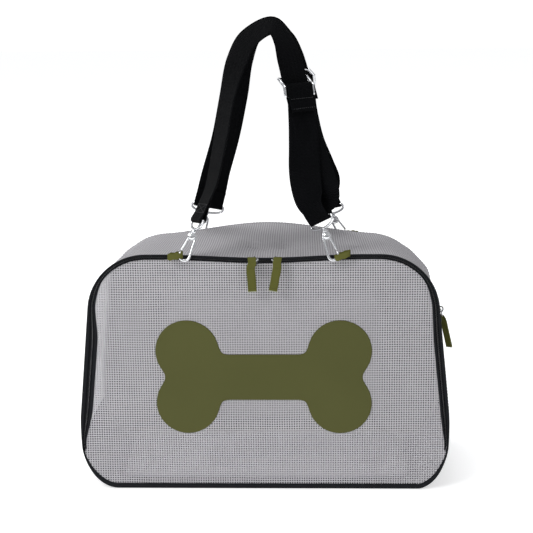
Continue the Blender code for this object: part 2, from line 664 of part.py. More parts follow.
def hook(tag, plane, foot_x, lean, psi, parent):
    """Snap hook: foot_x is where its wire bottom lies, lean its tilt towards +X,
    psi the turn of its eye.  Returns the eye's bar, width direction and axis."""
    g = -1 if foot_x < 0 else 1
    lean = math.radians(lean)
    foot = plane.at(foot_x, 0.0)
    d = X * math.sin(lean) + plane.u * math.cos(lean)
    u = X * math.cos(lean) - plane.u * math.sin(lean)
    if u.cross(plane.out).dot(d) < 0:
        flip = -1            # mirror image frame; the solids are symmetric about it
    else:
        flip = 1
    body, gate, rivet = HOOKS[g]
    pivot = foot + d * 0.0370
    swivel = empty(tag + "_swivel_axis", pivot, parent)
    add(tag + "_body", *moved(body, foot, u, plane.out, d), CHROME, pivot, swivel, smooth=40)
    rv = foot + d * A_RIVET
    gate_axis = empty(tag + "_gate_axis", rv, swivel)
    add(tag + "_gate", *moved(gate, foot, u, plane.out, d), CHROME, rv, gate_axis, smooth=40)
    add(tag + "_rivet", *moved(rivet, foot, u, plane.out, d), CHROME, rv, swivel, smooth=40)
    psi = math.radians(psi)
    inner = u * (-g)
    w = inner * math.cos(psi) + plane.out * math.sin(psi)
    m = d.cross(w)
    add(tag + "_eye", *moved(EYE, foot, w, m, d), CHROME, pivot, parent, smooth=40)
    # webbing loop on the bag, round the hook's closed side
    x0, x1 = foot_x + g * 0.0185, foot_x - g * (0.0006 + 0.05 * max(0.0, abs(lean) - 0.39))
    yo, yi = plane.o.y * 1.0, 0.0
    side = 1 if plane.o.y > 0 else -1
    near, far = (YB if side > 0 else -YF) + 0.0005, abs(plane.o.y) + 0.0036
    zlo, zhi = foot.z + 0.0022, foot.z + 0.0086
    cx, hx = (x0 + x1) / 2, abs(x0 - x1) / 2
    def ring(hxx, a, b, seg=4):
        r = min(hxx, (b - a) / 2) * 0.55
        return fillet([(cx + hxx, a), (cx + hxx, b), (cx - hxx, b), (cx - hxx, a)], [r] * 4, seg)
    outer, inn = ring(hx, near, far), ring(hx - 0.0013, near + 0.0013, far - 0.0013)
    n = len(outer)
    vv = [(p[0], side * p[1], zlo) for p in outer] + [(p[0], side * p[1], zlo) for p in inn]
    vv += [(p[0], side * p[1], zhi) for p in outer] + [(p[0], side * p[1], zhi) for p in inn]
    ff = []
    for k in range(n):
        q = (k + 1) % n
        ff += [[k, q, 2 * n + q, 2 * n + k], [n + q, n + k, 3 * n + k, 3 * n + q],
               [k, n + k, n + q, q], [2 * n + k, 2 * n + q, 3 * n + q, 3 * n + k]]
    add(tag.replace("hook", "loop"), vv, ff, OLIVE, parent_at(parent), parent)
    return foot + d * A_BAR, w, d


def parent_at(e):
    return e.location if e.parent is None else Vector(parent_inverse(e).inverted().translation)


def strap(tag, plane, axis_at, left, right, left_keys, apex, right_keys, front_keys, adj, spread=0.0036):
    """Webbing strap with a sewn left end and an adjustable right end, whose two layers
    stand `spread` off the right hook's bar on each side.
    Keys are (x, s, psi); `adj` is (x, s, psi, dx, ds): adjuster's place and run."""
    swing = empty(tag + "_swing_axis", axis_at)
    lb, lw, ld = hook("hook_" + tag + "_left", plane, *left, swing)
    rb, rw, rd = hook("hook_" + tag + "_right", plane, *right, swing)

    def width_dir(tx, ts, psi):
        p = math.radians(psi)
        inner = (X * ts - plane.u * tx).normalized()
        return inner * math.cos(p) + plane.out * math.sin(p)

    def face(w, t):
        m = w.cross(t).normalized()
        return m if m.dot(plane.out) > 0 else -m

    R = 0.0032
    keys = []
    # sewn tail on the inside, fold round the left bar, then up the front of it
    lm = face(lw, ld)
    tail = 0.0230
    keys.append((lb + ld * tail - lm * 0.0011, lw))
    keys.append((lb + ld * 0.0090 - lm * 0.0017, lw))
    for k in range(5):
        a = math.pi * k / 4
        keys.append((lb - ld * (R * math.sin(a)) - lm * (R * math.cos(a)), lw))
    keys.append((lb + ld * 0.0090 + lm * 0.0017, lw))
    keys.append((lb + ld * tail + lm * 0.0011, lw))
    flat = left_keys + [apex] + right_keys
    for i, (x, s, psi) in enumerate(flat):
        a = flat[i - 1] if i else (left_keys[0][0] - 0.002, left_keys[0][1] - 0.02, 0)
        b = flat[i + 1] if i < len(flat) - 1 else (x + (x - a[0]), s + (s - a[1]), 0)
        w = width_dir(b[0] - a[0], b[1] - a[1], psi)
        keys.append((plane.at(x, s), w))
    # down the inside of the right hook's bar, round it and up the outside
    rm = face(rw, rd)
    keys.append((rb + rd * 0.0130 - rm * spread, rw))
    for k in range(5):
        a = math.pi * k / 4
        keys.append((rb - rd * (R * math.sin(a)) - rm * (R * math.cos(a)), rw))
    keys.append((rb + rd * 0.0130 + rm * spread, rw))
    for i, (x, s, psi, off) in enumerate(front_keys):
        a = front_keys[i - 1] if i else (front_keys[0][0], front_keys[0][1] - 0.02)
        b = front_keys[i + 1] if i < len(front_keys) - 1 else (x + (x - a[0]), s + (s - a[1]))
        tx, ts = -(b[0] - a[0]), -(b[1] - a[1])
        w = width_dir(tx, ts, psi)
        keys.append((plane.at(x, s) + face(w, X * tx + plane.u * ts) * off, w))
    sub = []
    for i in range(len(keys) - 1):
        L = (keys[i + 1][0] - keys[i][0]).length
        sub.append(1 if L < 0.006 else max(1, min(5, int(round(L / 0.008)))))
    st = spline(keys, sub)
    v, f = ribbon(st, WEB_W, WEB_T)
    add("strap_" + tag + "_webbing", v, f, WEBBING, axis_at, swing)

    # adjuster: a ladder frame that the webbing passes through, and the sewn hem on its bar
    ax_, as_, apsi, dx, ds = adj
    t = (X * dx + plane.u * ds).normalized()            # down the strap
    w = width_dir(dx, ds, apsi)
    m = face(w, t)
    c = plane.at(ax_, as_)
    r = 0.0013
    P = lambda a, b, k: c + w * a + t * b + m * k
    hw = 0.0213
    top_bar = tube([P(-hw, -0.0120, -0.0025), P(hw, -0.0120, -0.0025)], r, m)
    mid_bar = tube([P(-hw, 0.0, 0.0044), P(hw, 0.0, 0.0044)], r, m)
    low_bar = tube([P(-hw, 0.0115, 0.0026), P(hw, 0.0115, 0.0026)], r, m)
    sides = [tube([P(q * hw, -0.0132, -0.0029), P(q * hw, -0.0110, -0.0020), P(q * hw, -0.0010, 0.0042), P(q * hw, 0.0012, 0.0044),
                   P(q * hw, 0.0127, 0.0024)], r * 1.25, w) for q in (-1, 1)]
    v, f = union([sides[0], sides[1], top_bar, mid_bar, low_bar])
    slide = empty(tag + "_adjuster_axis", c, swing)
    add("strap_" + tag + "_adjuster", v, f, CHROME, c, slide, smooth=50)
    Rh = 0.0025
    hem = [(P(0, 0.0070, 0.0044 - Rh + 0.0001), w), (P(0, 0.0030, 0.0044 - Rh), w)]
    for k in range(5):
        a = math.pi * k / 4
        hem.append((P(0, -Rh * math.sin(a), 0.0044 - Rh * math.cos(a)), w))
    hem += [(P(0, 0.0060, 0.0062), w), (P(0, 0.0115, 0.0053), w), (P(0, 0.0180, 0.0046), w), (P(0, 0.0330, 0.0044), w)]
    v, f = ribbon(spline(hem, 2), WEB_W, WEB_T)
    add("strap_" + tag + "_hem", v, f, WEBBING, c, slide)
    return swing


strap("front", FRONT, (0, SWING_Y_FRONT, SWING_Z_FRONT),
      (-0.0960, 21, 66), (0.0875, -19, -50),
      [(-0.0620, 0.0900, 64), (-0.0510, 0.1460, 60), (-0.0430, 0.1960, 56), (-0.0320, 0.2400, 44), (-0.0160, 0.2710, 42)],
      (0.0120, 0.2860, 44),
      [(0.0255, 0.2680, 50), (0.0335, 0.2430, 38), (0.0397, 0.2180, 36), (0.0459, 0.1930, 36), (0.0540, 0.1600, 34),
       (0.0595, 0.1300, 18), (0.0690, 0.1000, 0), (0.0755, 0.0780, -22)],
      [(0.0560, 0.0780, -22, 0.0020), (0.0515, 0.1050, 0, 0.0050), (0.0490, 0.1350, 16, 0.0060), (0.0470, 0.1620, 28, 0.0044),
       (0.0453, 0.1890, 36, 0.0024)],
      (0.0413, 0.2115, 36, 0.0124, -0.0500), spread=0.0070)

def raised(keys):
    return [(k[0], k[1] + REAR_RISE) + tuple(k[2:]) for k in keys]


strap("rear", REAR, (0, SWING_Y_REAR, SWING_Z_REAR),
      (-0.0930, 15, 6), (0.1020, -25, 20),
      raised([(-0.0680, 0.0900, 14), (-0.0525, 0.1450, 18), (-0.0405, 0.2020, 18), (-0.0310, 0.2520, 26), (-0.0165, 0.2840, 36)]),
      raised([(0.0120, 0.3010, 44)])[0],
      raised([(0.0265, 0.2850, 48), (0.0340, 0.2600, 34), (0.0400, 0.2350, 30), (0.0460, 0.2100, 30), (0.0510, 0.1760, 28),
       (0.0580, 0.1420, 25), (0.0700, 0.1080, 22), (0.0780, 0.0820, 20)]),
      raised([(0.0690, 0.0840, 20, 0.0020), (0.0590, 0.1130, 22, 0.0030), (0.0520, 0.1450, 26, 0.0040), (0.0485, 0.1780, 30, 0.0030),
       (0.0463, 0.2060, 30, 0.0024)]),
      raised([(0.0415, 0.2285, 30, 0.0120, -0.0500)])[0])

bpy.context.view_layer.update()
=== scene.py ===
import math

import bmesh
import bpy
from mathutils import Matrix, Vector, geometry, noise


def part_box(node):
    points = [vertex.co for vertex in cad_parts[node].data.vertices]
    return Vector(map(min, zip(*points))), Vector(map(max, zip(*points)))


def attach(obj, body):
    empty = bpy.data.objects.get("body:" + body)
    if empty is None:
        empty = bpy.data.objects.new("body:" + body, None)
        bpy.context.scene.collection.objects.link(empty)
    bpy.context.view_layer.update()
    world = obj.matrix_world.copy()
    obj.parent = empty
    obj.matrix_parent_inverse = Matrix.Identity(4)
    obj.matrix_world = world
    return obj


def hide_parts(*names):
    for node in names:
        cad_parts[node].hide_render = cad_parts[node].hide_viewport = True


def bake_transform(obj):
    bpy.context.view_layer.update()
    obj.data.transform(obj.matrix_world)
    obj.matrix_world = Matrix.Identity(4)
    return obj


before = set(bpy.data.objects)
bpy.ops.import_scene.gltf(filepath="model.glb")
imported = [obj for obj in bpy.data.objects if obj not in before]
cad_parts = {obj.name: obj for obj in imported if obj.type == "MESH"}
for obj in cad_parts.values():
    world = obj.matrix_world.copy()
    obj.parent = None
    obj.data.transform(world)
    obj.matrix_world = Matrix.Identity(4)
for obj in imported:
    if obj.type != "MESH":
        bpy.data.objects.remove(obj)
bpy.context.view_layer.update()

# ------------------------------------------------------------------ dimensions
# The same driving dimensions as the CAD, in metres, some of them read from the frame's boxes.
rim_lo, rim_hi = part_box("front_rim")
H = rim_hi.z
YF = rim_lo.y
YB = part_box("back_binding")[1].y
W_FOOT, TAPER = 0.2275, 0.0630
SWELL, SWELL_Z = 0.0070, 0.095
R_TOP, R_FOOT = 0.070, 0.0525
DROOP, BULGE, REAR_DROP = 0.0045, 0.003, 0.0160
FABRIC, GAP = 0.0018, 0.0003
RIM_W, ZIP_W, BIND_W = 0.0032, 0.0030, 0.0018
OFF_ZIP = RIM_W + GAP
OFF_BIND = OFF_ZIP + ZIP_W + GAP
OFF_PANEL = OFF_BIND + BIND_W + GAP
FOLD_Z = 0.0500
Y_RIM, Y_STRIP, Y_BIND = YF + 0.0080, YF + 0.0230, YB - 0.0050
WEB_W, WEB_T = 0.038, 0.0016
PULL_W, PULL_T, PULL_L = 0.0105, 0.0024, 0.0410
SIDE_ZIP_Z = 0.2110
X, Y, Z = Vector((1, 0, 0)), Vector((0, 1, 0)), Vector((0, 0, 1))
SCENE = bpy.context.scene
COLL = SCENE.collection


# ---------------------------------------------------------------------- camera
def camera():
    yaw, pitch, roll, f = math.radians(-2.211), math.radians(13.2024), math.radians(-0.631), 1529.96
    fwd = Vector((math.sin(yaw) * math.cos(pitch), math.cos(yaw) * math.cos(pitch), -math.sin(pitch)))
    xc = fwd.cross(Z).normalized()
    yc = xc.cross(fwd)
    xr = xc * math.cos(roll) + yc * math.sin(roll)
    yr = -xc * math.sin(roll) + yc * math.cos(roll)
    cam = bpy.data.objects.new("camera", bpy.data.cameras.new("camera"))
    COLL.objects.link(cam)
    m = Matrix((xr, yr, -fwd)).transposed().to_4x4()
    m.translation = Vector((0.0744, -1.9, 0.7082))
    cam.matrix_world = m
    cam.data.sensor_width = 36.0
    cam.data.lens = 36.0 * f / 533.0
    cam.data.clip_start, cam.data.clip_end = 0.05, 60.0
    SCENE.camera = cam


camera()


# ------------------------------------------------------------------- materials
class Graph:
    """A material being wired: small helpers round its node tree."""

    def __init__(self, name):
        self.m = bpy.data.materials.new(name)
        self.m.use_nodes = True
        self.t = self.m.node_tree
        self.b = self.t.nodes["Principled BSDF"]

    def n(self, kind, **kw):
        x = self.t.nodes.new(kind)
        for k, v in kw.items():
            setattr(x, k, v)
        return x

    def put(self, sock, v):
        if isinstance(v, bpy.types.NodeSocket):
            self.t.links.new(v, sock)
        else:
            sock.default_value = v

    def f(self, op, a, b=None, c=None):
        x = self.n("ShaderNodeMath", operation=op)
        for s, v in zip(x.inputs, (a, b, c)):
            if v is not None:
                self.put(s, v)
        return x.outputs[0]

    def uv(self):
        a = self.n("ShaderNodeUVMap", uv_map="weave")
        s = self.n("ShaderNodeSeparateXYZ")
        self.put(s.inputs[0], a.outputs[0])
        return s.outputs[0], s.outputs[1]

    def pos(self):
        return self.n("ShaderNodeTexCoord").outputs["Object"]

    def noise(self, scale, detail=2.0, rough=0.5, vec=None):
        x = self.n("ShaderNodeTexNoise")
        self.put(x.inputs["Vector"], vec if vec is not None else self.pos())
        x.inputs["Scale"].default_value = scale
        x.inputs["Detail"].default_value = detail
        x.inputs["Roughness"].default_value = rough
        return x.outputs["Fac"]

    def span(self, v, lo, hi, a=0.0, b=1.0, smooth=True):
        x = self.n("ShaderNodeMapRange", interpolation_type="SMOOTHSTEP" if smooth else "LINEAR")
        for k, q in zip(("Value", "From Min", "From Max", "To Min", "To Max"), (v, lo, hi, a, b)):
            self.put(x.inputs[k], q)
        return x.outputs[0]

    def mix(self, fac, a, b):
        x = self.n("ShaderNodeMix", data_type="RGBA")
        self.put(x.inputs[0], fac)
        self.put(x.inputs[6], (*a, 1.0) if isinstance(a, tuple) else a)
        self.put(x.inputs[7], (*b, 1.0) if isinstance(b, tuple) else b)
        return x.outputs[2]

    def bump(self, h, strength, dist):
        x = self.n("ShaderNodeBump")
        x.inputs["Strength"].default_value = strength
        x.inputs["Distance"].default_value = dist
        self.put(x.inputs["Height"], h)
        self.put(self.b.inputs["Normal"], x.outputs[0])

    def cos(self, v, k=1.0):
        return self.f("COSINE", self.f("MULTIPLY", v, 2 * math.pi * k))


def mesh_cloth(name, rgb, pitch=0.0030, see=0.90, edge=(0.26, 0.56), rough=0.80, spec=0.20, inner=None, thin=0.0):
    """Coarse woven mesh: a grid of small holes between lighter threads.  `inner` is
    (low, high, u0, u1, v0, v1): painted shade and painted light on its inner face, the colour
    scaled by high inside that box and by low outside it.  `thin` is how much the threads themselves let through."""
    g = Graph(name)
    u, v = g.uv()
    slow = g.noise(18.0, 2.0, 0.5)
    drift = g.f("MULTIPLY_ADD", slow, 0.0016, -0.0008)
    gap_r = g.f("MULTIPLY_ADD", g.cos(g.f("ADD", v, drift), 1.0 / pitch), -0.5, 0.5)
    gap_c = g.f("MULTIPLY_ADD", g.cos(g.f("ADD", u, drift), 1.0 / pitch), -0.5, 0.5)
    hole = g.f("MULTIPLY", g.f("MULTIPLY_ADD", gap_r, 0.85, 0.15), g.f("MULTIPLY_ADD", gap_c, 0.80, 0.20))
    soft = g.noise(55.0, 2.0, 0.6)
    hole = g.f("MULTIPLY_ADD", g.f("SUBTRACT", soft, 0.5), 0.14, hole)
    mask = g.span(hole, *edge)
    broad = g.noise(7.0, 3.0, 0.55)
    fine = g.noise(900.0, 2.0, 0.6)
    tone = g.f("ADD", g.f("MULTIPLY_ADD", broad, 0.20, -0.10), g.f("MULTIPLY_ADD", fine, 0.20, -0.10))
    lift = g.f("ADD", g.f("MULTIPLY_ADD", g.f("SUBTRACT", 1.0, hole), 0.62, 0.30), tone)
    dark, light = tuple(c * 0.50 for c in rgb), tuple(min(1.0, c * 1.12) for c in rgb)
    col = g.mix(lift, dark, light)
    # painted shade and painted light: on the face seen from inside the bag the colour is scaled by one gain inside the
    # box and another outside it, standing in for how light falls in the bag
    if inner:
        painted_gain_outside, painted_gain_inside, x0, x1, z0, z1 = inner
        painted_zone = g.f("MULTIPLY", g.f("MULTIPLY", g.span(u, x0 - 0.012, x0 + 0.012), g.span(u, x1 + 0.012, x1 - 0.012)),
                   g.f("MULTIPLY", g.span(v, z0 - 0.012, z0 + 0.012), g.span(v, z1 + 0.012, z1 - 0.012)))
        geo = g.n("ShaderNodeNewGeometry")
        away = g.n("ShaderNodeVectorMath", operation="SUBTRACT")       # from the bag's middle
        g.put(away.inputs[0], geo.outputs["Position"])
        away.inputs[1].default_value = (0.0, 0.0, 0.15)
        facing = g.n("ShaderNodeVectorMath", operation="DOT_PRODUCT")
        g.put(facing.inputs[0], away.outputs[0])
        g.put(facing.inputs[1], geo.outputs["Normal"])
        within = g.span(facing.outputs["Value"], 0.002, -0.002)
        col = g.mix(within, col, g.mix(painted_zone, tuple(c * painted_gain_outside for c in rgb), tuple(min(0.9, c * painted_gain_inside) for c in rgb)))
    g.put(g.b.inputs["Base Color"], col)
    g.put(g.b.inputs["Alpha"], g.f("MULTIPLY_ADD", mask, thin - see, 1.0 - thin))
    g.put(g.b.inputs["Roughness"], g.f("MULTIPLY_ADD", fine, 0.14, rough - 0.07))
    g.b.inputs["Specular IOR Level"].default_value = spec
    g.bump(g.f("SUBTRACT", 1.0, hole), 0.55, 0.0006)
    return g.m


def plain_cloth(name, rgb, pitch=0.0008, rough=0.72, sheen=0.0, var=0.25, bump=0.4, spec=0.2):
    """Plain over-and-under weave with a slightly uneven dye."""
    g = Graph(name)
    u, v = g.uv()
    a = g.f("MULTIPLY", g.cos(u, 1.0 / pitch), g.cos(v, 1.0 / pitch))
    broad = g.noise(14.0, 3.0, 0.6)
    fine = g.noise(1300.0, 2.0, 0.6)
    t = g.f("ADD", g.f("MULTIPLY_ADD", a, 0.16, 0.42), g.f("MULTIPLY_ADD", broad, 0.30, -0.10))
    t = g.f("ADD", t, g.f("MULTIPLY_ADD", fine, 0.2, -0.1))
    g.put(g.b.inputs["Base Color"], g.mix(t, tuple(c * (1 - var) for c in rgb), tuple(min(1, c * (1 + var)) for c in rgb)))
    g.put(g.b.inputs["Roughness"], g.f("MULTIPLY_ADD", fine, 0.16, rough - 0.08))
    g.b.inputs["Sheen Weight"].default_value = sheen
    g.b.inputs["Specular IOR Level"].default_value = spec
    g.bump(g.f("MULTIPLY_ADD", a, 0.5, g.f("MULTIPLY", fine, 0.5)), bump, 0.0004)
    return g.m


def webbing(name, rgb, half, pitch=0.0017, rough=0.5, var=0.35, spec=0.2, chevrons=6.0, ends=None, bump=0.6):
    """Ribbed webbing: V ribs along its length and a firmer cord at each edge.
    ends is (low v, high v, rgb): the pale cut edges of a short piece."""
    g = Graph(name)
    u, v = g.uv()
    zig = g.f("PINGPONG", g.f("MULTIPLY_ADD", u, chevrons / (2 * half), 50.0), 0.5)
    rib = g.cos(g.f("ADD", g.f("MULTIPLY", v, 1.0 / pitch), zig))
    rib = g.f("MULTIPLY_ADD", rib, 0.5, 0.5)
    au = g.f("ABSOLUTE", u)
    selv = g.span(au, half * 0.90, half * 0.95)
    broad = g.noise(22.0, 3.0, 0.6)
    fine = g.noise(1500.0, 2.0, 0.65)
    rub = g.span(g.noise(60.0, 3.0, 0.7), 0.52, 0.78)
    # painted highlight and painted shade: the rib term lightens the colour on the rib crests and darkens it in the
    # troughs, the more so the larger var is
    t = g.f("ADD", g.f("MULTIPLY_ADD", rib, 0.42, 0.10), g.f("MULTIPLY_ADD", broad, 0.4, -0.12))
    t = g.f("ADD", t, g.f("MULTIPLY_ADD", fine, 0.3, -0.15))
    t = g.f("ADD", t, g.f("MULTIPLY", g.f("MULTIPLY", selv, rub), 0.35))
    col = g.mix(t, tuple(c * (1 - var) for c in rgb), tuple(min(1, c * (1 + var * 1.6)) for c in rgb))
    if ends:
        lo, hi, pale = ends
        near = g.f("MAXIMUM", g.span(v, lo, lo - 0.0007), g.span(v, hi, hi + 0.0007))
        col = g.mix(g.f("MULTIPLY", near, 0.8), col, pale)
    g.put(g.b.inputs["Base Color"], col)
    g.put(g.b.inputs["Roughness"], g.f("MULTIPLY_ADD", fine, 0.18, rough - 0.05))
    g.b.inputs["Specular IOR Level"].default_value = spec
    h = g.f("MULTIPLY", rib, g.f("MULTIPLY_ADD", selv, -0.8, 1.0))
    g.bump(g.f("ADD", h, g.f("MULTIPLY", fine, 0.35)), bump, 0.0005)
    return g.m


def coated(name, rgb):
    """Coated patch cloth: matt, with a faint pebble and slow changes of tone."""
    g = Graph(name)
    broad, mid, fine = g.noise(9.0, 2.0, 0.5), g.noise(120.0, 3.0, 0.6), g.noise(1400.0, 3.0, 0.7)
    t = g.f("ADD", g.f("MULTIPLY_ADD", broad, 0.7, 0.10), g.f("MULTIPLY_ADD", mid, 0.14, -0.03))
    t = g.f("ADD", t, g.f("MULTIPLY_ADD", fine, 0.16, -0.08))
    g.put(g.b.inputs["Base Color"], g.mix(t, tuple(c * 0.86 for c in rgb), tuple(c * 1.13 for c in rgb)))
    g.put(g.b.inputs["Roughness"], g.f("MULTIPLY_ADD", mid, 0.16, 0.50))
    g.b.inputs["Specular IOR Level"].default_value = 0.06
    g.bump(g.f("ADD", fine, g.f("MULTIPLY", mid, 1.2)), 0.22, 0.0004)
    return g.m


def plated(name, rgb, rough=0.16):
    """Nickel plate: bright, with fine polishing lines and duller rubbed places."""
    g = Graph(name)
    mid, fine = g.noise(140.0, 3.0, 0.6), g.noise(2600.0, 2.0, 0.7)
    g.put(g.b.inputs["Base Color"], g.mix(mid, tuple(c * 0.90 for c in rgb), rgb))
    g.b.inputs["Metallic"].default_value = 1.0
    r = g.f("ADD", g.span(mid, 0.42, 0.72, rough - 0.04, rough + 0.14), g.f("MULTIPLY_ADD", fine, 0.06, -0.03))
    g.put(g.b.inputs["Roughness"], r)
    g.bump(fine, 0.06, 0.0002)
    return g.m


def enamel(name, rgb):
    g = Graph(name)
    mid, fine = g.noise(260.0, 3.0, 0.6), g.noise(2400.0, 2.0, 0.7)
    g.put(g.b.inputs["Base Color"], g.mix(mid, tuple(c * 0.7 for c in rgb), tuple(c * 1.4 for c in rgb)))
    g.put(g.b.inputs["Roughness"], g.f("MULTIPLY_ADD", mid, 0.25, 0.22))
    g.b.inputs["Coat Weight"].default_value = 0.3
    g.bump(fine, 0.08, 0.0002)
    return g.m


def coil_plastic(name, rgb):
    g = Graph(name)
    mid, fine = g.noise(90.0, 2.0, 0.6), g.noise(2000.0, 2.0, 0.6)
    g.put(g.b.inputs["Base Color"], g.mix(mid, tuple(c * 0.7 for c in rgb), tuple(c * 1.5 for c in rgb)))
    g.put(g.b.inputs["Roughness"], g.f("MULTIPLY_ADD", fine, 0.15, 0.34))
    g.bump(fine, 0.1, 0.0002)
    return g.m


MESH = mesh_cloth("grey_mesh", (0.570, 0.557, 0.582), see=0.80, edge=(0.20, 0.62), thin=0.24)
# walls' inner face: painted light on the top and left walls (colour x2.05) and painted shade on the right wall (colour
# x0.75)
MESH_WALL = mesh_cloth("grey_mesh_wall_painted_light_and_shade", (0.450, 0.438, 0.458), see=0.42, inner=(2.05, 0.75, -0.02, 0.24, -1.0, 1.0))
# back panel's inner face: painted shade, colour x0.10 outside the pocket's outline and x0.62 within it
MESH_BACK = mesh_cloth("grey_mesh_back_painted_inner_shade", (0.440, 0.430, 0.448), see=0.10, inner=(0.10, 0.62, -0.138, 0.148, 0.030, 0.200))
SEAM = plain_cloth("grey_seam_tape", (0.33, 0.325, 0.34), pitch=0.0011, rough=0.8, var=0.12)
BLACK = plain_cloth("black_binding", (0.0120, 0.0128, 0.0150), pitch=0.0010, rough=0.75, var=0.35, spec=0.08)
TAPE = plain_cloth("zip_tape", (0.0085, 0.0090, 0.0105), pitch=0.0007, rough=0.78, var=0.3, spec=0.08)
TEETH = coil_plastic("zip_teeth", (0.014, 0.015, 0.017))
# painted highlight: var=0.92 gives this black webbing light rib crests in its colour
STRAP = webbing("black_webbing", (0.0029, 0.0031, 0.0037), WEB_W / 2, rough=0.60, spec=0.025, var=0.92, bump=1.0)
OLIVE = webbing("olive_webbing", (0.105, 0.107, 0.026), PULL_W / 2, pitch=0.0011, rough=0.7, spec=0.08, var=0.22, chevrons=2.0,
                ends=(0.0012, 0.0838, (0.42, 0.44, 0.33)))
OLIVE_LOOP = webbing("olive_loop_webbing", (0.108, 0.110, 0.028), 0.0034, pitch=0.0011, rough=0.75, spec=0.08, var=0.25, chevrons=2.0)
PATCH = coated("olive_patch", (0.0860, 0.0880, 0.0300))
CHROME = plated("bright_metal", (0.80, 0.81, 0.83))
ENAMEL = enamel("black_metal", (0.022, 0.022, 0.025))
LINING = plain_cloth("light_lining", (0.45, 0.445, 0.46), pitch=0.0014, rough=0.85, var=0.08, sheen=0.25)
POCKET = mesh_cloth("pocket_mesh", (0.50, 0.495, 0.51), pitch=0.0020, see=0.15)
BOARD = enamel("board", (0.09, 0.09, 0.095))
THREAD = plain_cloth("thread_dark", (0.045, 0.045, 0.048), pitch=0.0005, rough=0.6, var=0.3)
THREAD_OLIVE = plain_cloth("thread_olive", (0.060, 0.062, 0.018), pitch=0.0005, rough=0.7, var=0.3)
THREAD_GREY = plain_cloth("thread_grey", (0.30, 0.30, 0.31), pitch=0.0005, rough=0.7, var=0.2)


# --------------------------------------------------------------------- helpers
def piece(name, verts, faces, mat, body, slot, uvs=None, replaces=(), smooth=55, recalc=True):
    """A piece in the row frame, riding on a body."""
    me = bpy.data.meshes.new(name)
    me.from_pydata([tuple(v) for v in verts], [], faces)
    lay = me.uv_layers.new(name="weave")
    if uvs is not None:
        flat = [c for f in uvs for p in f for c in p]
        lay.data.foreach_set("uv", flat)
    else:                                    # box-like coordinates in metres, by each face's main direction
        for p in me.polygons:
            k = max(range(3), key=lambda i: abs(p.normal[i]))
            a, b = [(1, 2), (0, 2), (0, 1)][k]
            for li in p.loop_indices:
                c = me.vertices[me.loops[li].vertex_index].co
                lay.data[li].uv = (c[a], c[b])
    if recalc:
        bm = bmesh.new()
        bm.from_mesh(me)
        bmesh.ops.recalc_face_normals(bm, faces=bm.faces)
        bm.to_mesh(me)
        bm.free()
    me.materials.append(mat)
    me.shade_smooth()
    if smooth < 180:
        me.set_sharp_from_angle(angle=math.radians(smooth))
    ob = bpy.data.objects.new(name, me)
    COLL.objects.link(ob)
    if isinstance(body, str):
        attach(ob, body)
    if replaces:
        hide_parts(*replaces)
    return ob


def grid(P, loop_i=False, loop_j=False, caps=False, uv=None):
    """Quads over the rows P[i][j], with UVs in metres along i and j."""
    ni, nj = len(P), len(P[0])
    if uv is None:
        U, V = [0.0], [0.0]
        jm = 0
        for i in range(ni):
            U.append(U[-1] + (Vector(P[(i + 1) % ni][jm]) - Vector(P[i][jm])).length)
        for j in range(nj):
            V.append(V[-1] + (Vector(P[0][(j + 1) % nj]) - Vector(P[0][j])).length)
        uv = lambda i, j: (U[i], V[j])
    faces, uvs = [], []
    for i in range(ni if loop_i else ni - 1):
        for j in range(nj if loop_j else nj - 1):
            a, b = (i + 1) % ni, (j + 1) % nj
            faces.append((i * nj + j, a * nj + j, a * nj + b, i * nj + b))
            uvs.append((uv(i, j), uv(i + 1, j), uv(i + 1, j + 1), uv(i, j + 1)))
    if caps:
        faces.append(tuple(range(nj))[::-1])
        uvs.append(tuple(uv(0, j) for j in range(nj))[::-1])
        faces.append(tuple((ni - 1) * nj + j for j in range(nj)))
        uvs.append(tuple(uv(ni - 1, j) for j in range(nj)))
    return [p for row in P for p in row], faces, uvs


class Bag:
    """Collects several closed solids into one piece."""

    def __init__(self):
        self.v, self.f, self.u = [], [], []

    def add(self, v, f, u=None):
        n = len(self.v)
        self.v += [tuple(p) for p in v]
        self.f += [tuple(i + n for i in q) for q in f]
        self.u += u if u is not None else [tuple((self.v[i][0] + self.v[i][1], self.v[i][2] + self.v[i][1] * 0.5) for i in q)
                                           for q in self.f[-len(f):]]
        return self

    def make(self, name, mat, body, slot, **kw):
        return piece(name, self.v, self.f, mat, body, slot, uvs=self.u, **kw)


def fillet(pts, radii, seg):
    out = []
    n = len(pts)
    for i in range(n):
        p, r = Vector(pts[i]), radii[i]
        a = (Vector(pts[i - 1]) - p).normalized()
        b = (Vector(pts[(i + 1) % n]) - p).normalized()
        half = math.acos(max(-1, min(1, a.dot(b)))) / 2
        t = r / math.tan(half)
        c = p + (a + b).normalized() * (r / math.sin(half))
        s, e = p + a * t - c, p + b * t - c
        ang = math.atan2(s.x * e.y - s.y * e.x, s.dot(e))
        for k in range(seg + 1):
            q = ang * k / seg
            out.append((c.x + s.x * math.cos(q) - s.y * math.sin(q), c.y + s.x * math.sin(q) + s.y * math.cos(q)))
    return out


SEG, SIDE_N, TOP_N, FOOT_N = 20, 28, 72, 48


def smooth01(t):
    t = max(0.0, min(1.0, t))
    return t * t * (3 - 2 * t)


def swell(z):
    """How far the sides stand out of their straight taper at height z."""
    return SWELL * smooth01(z / SWELL_Z) if z < SWELL_Z else SWELL * max(0.0, (H - z) / (H - SWELL_Z))


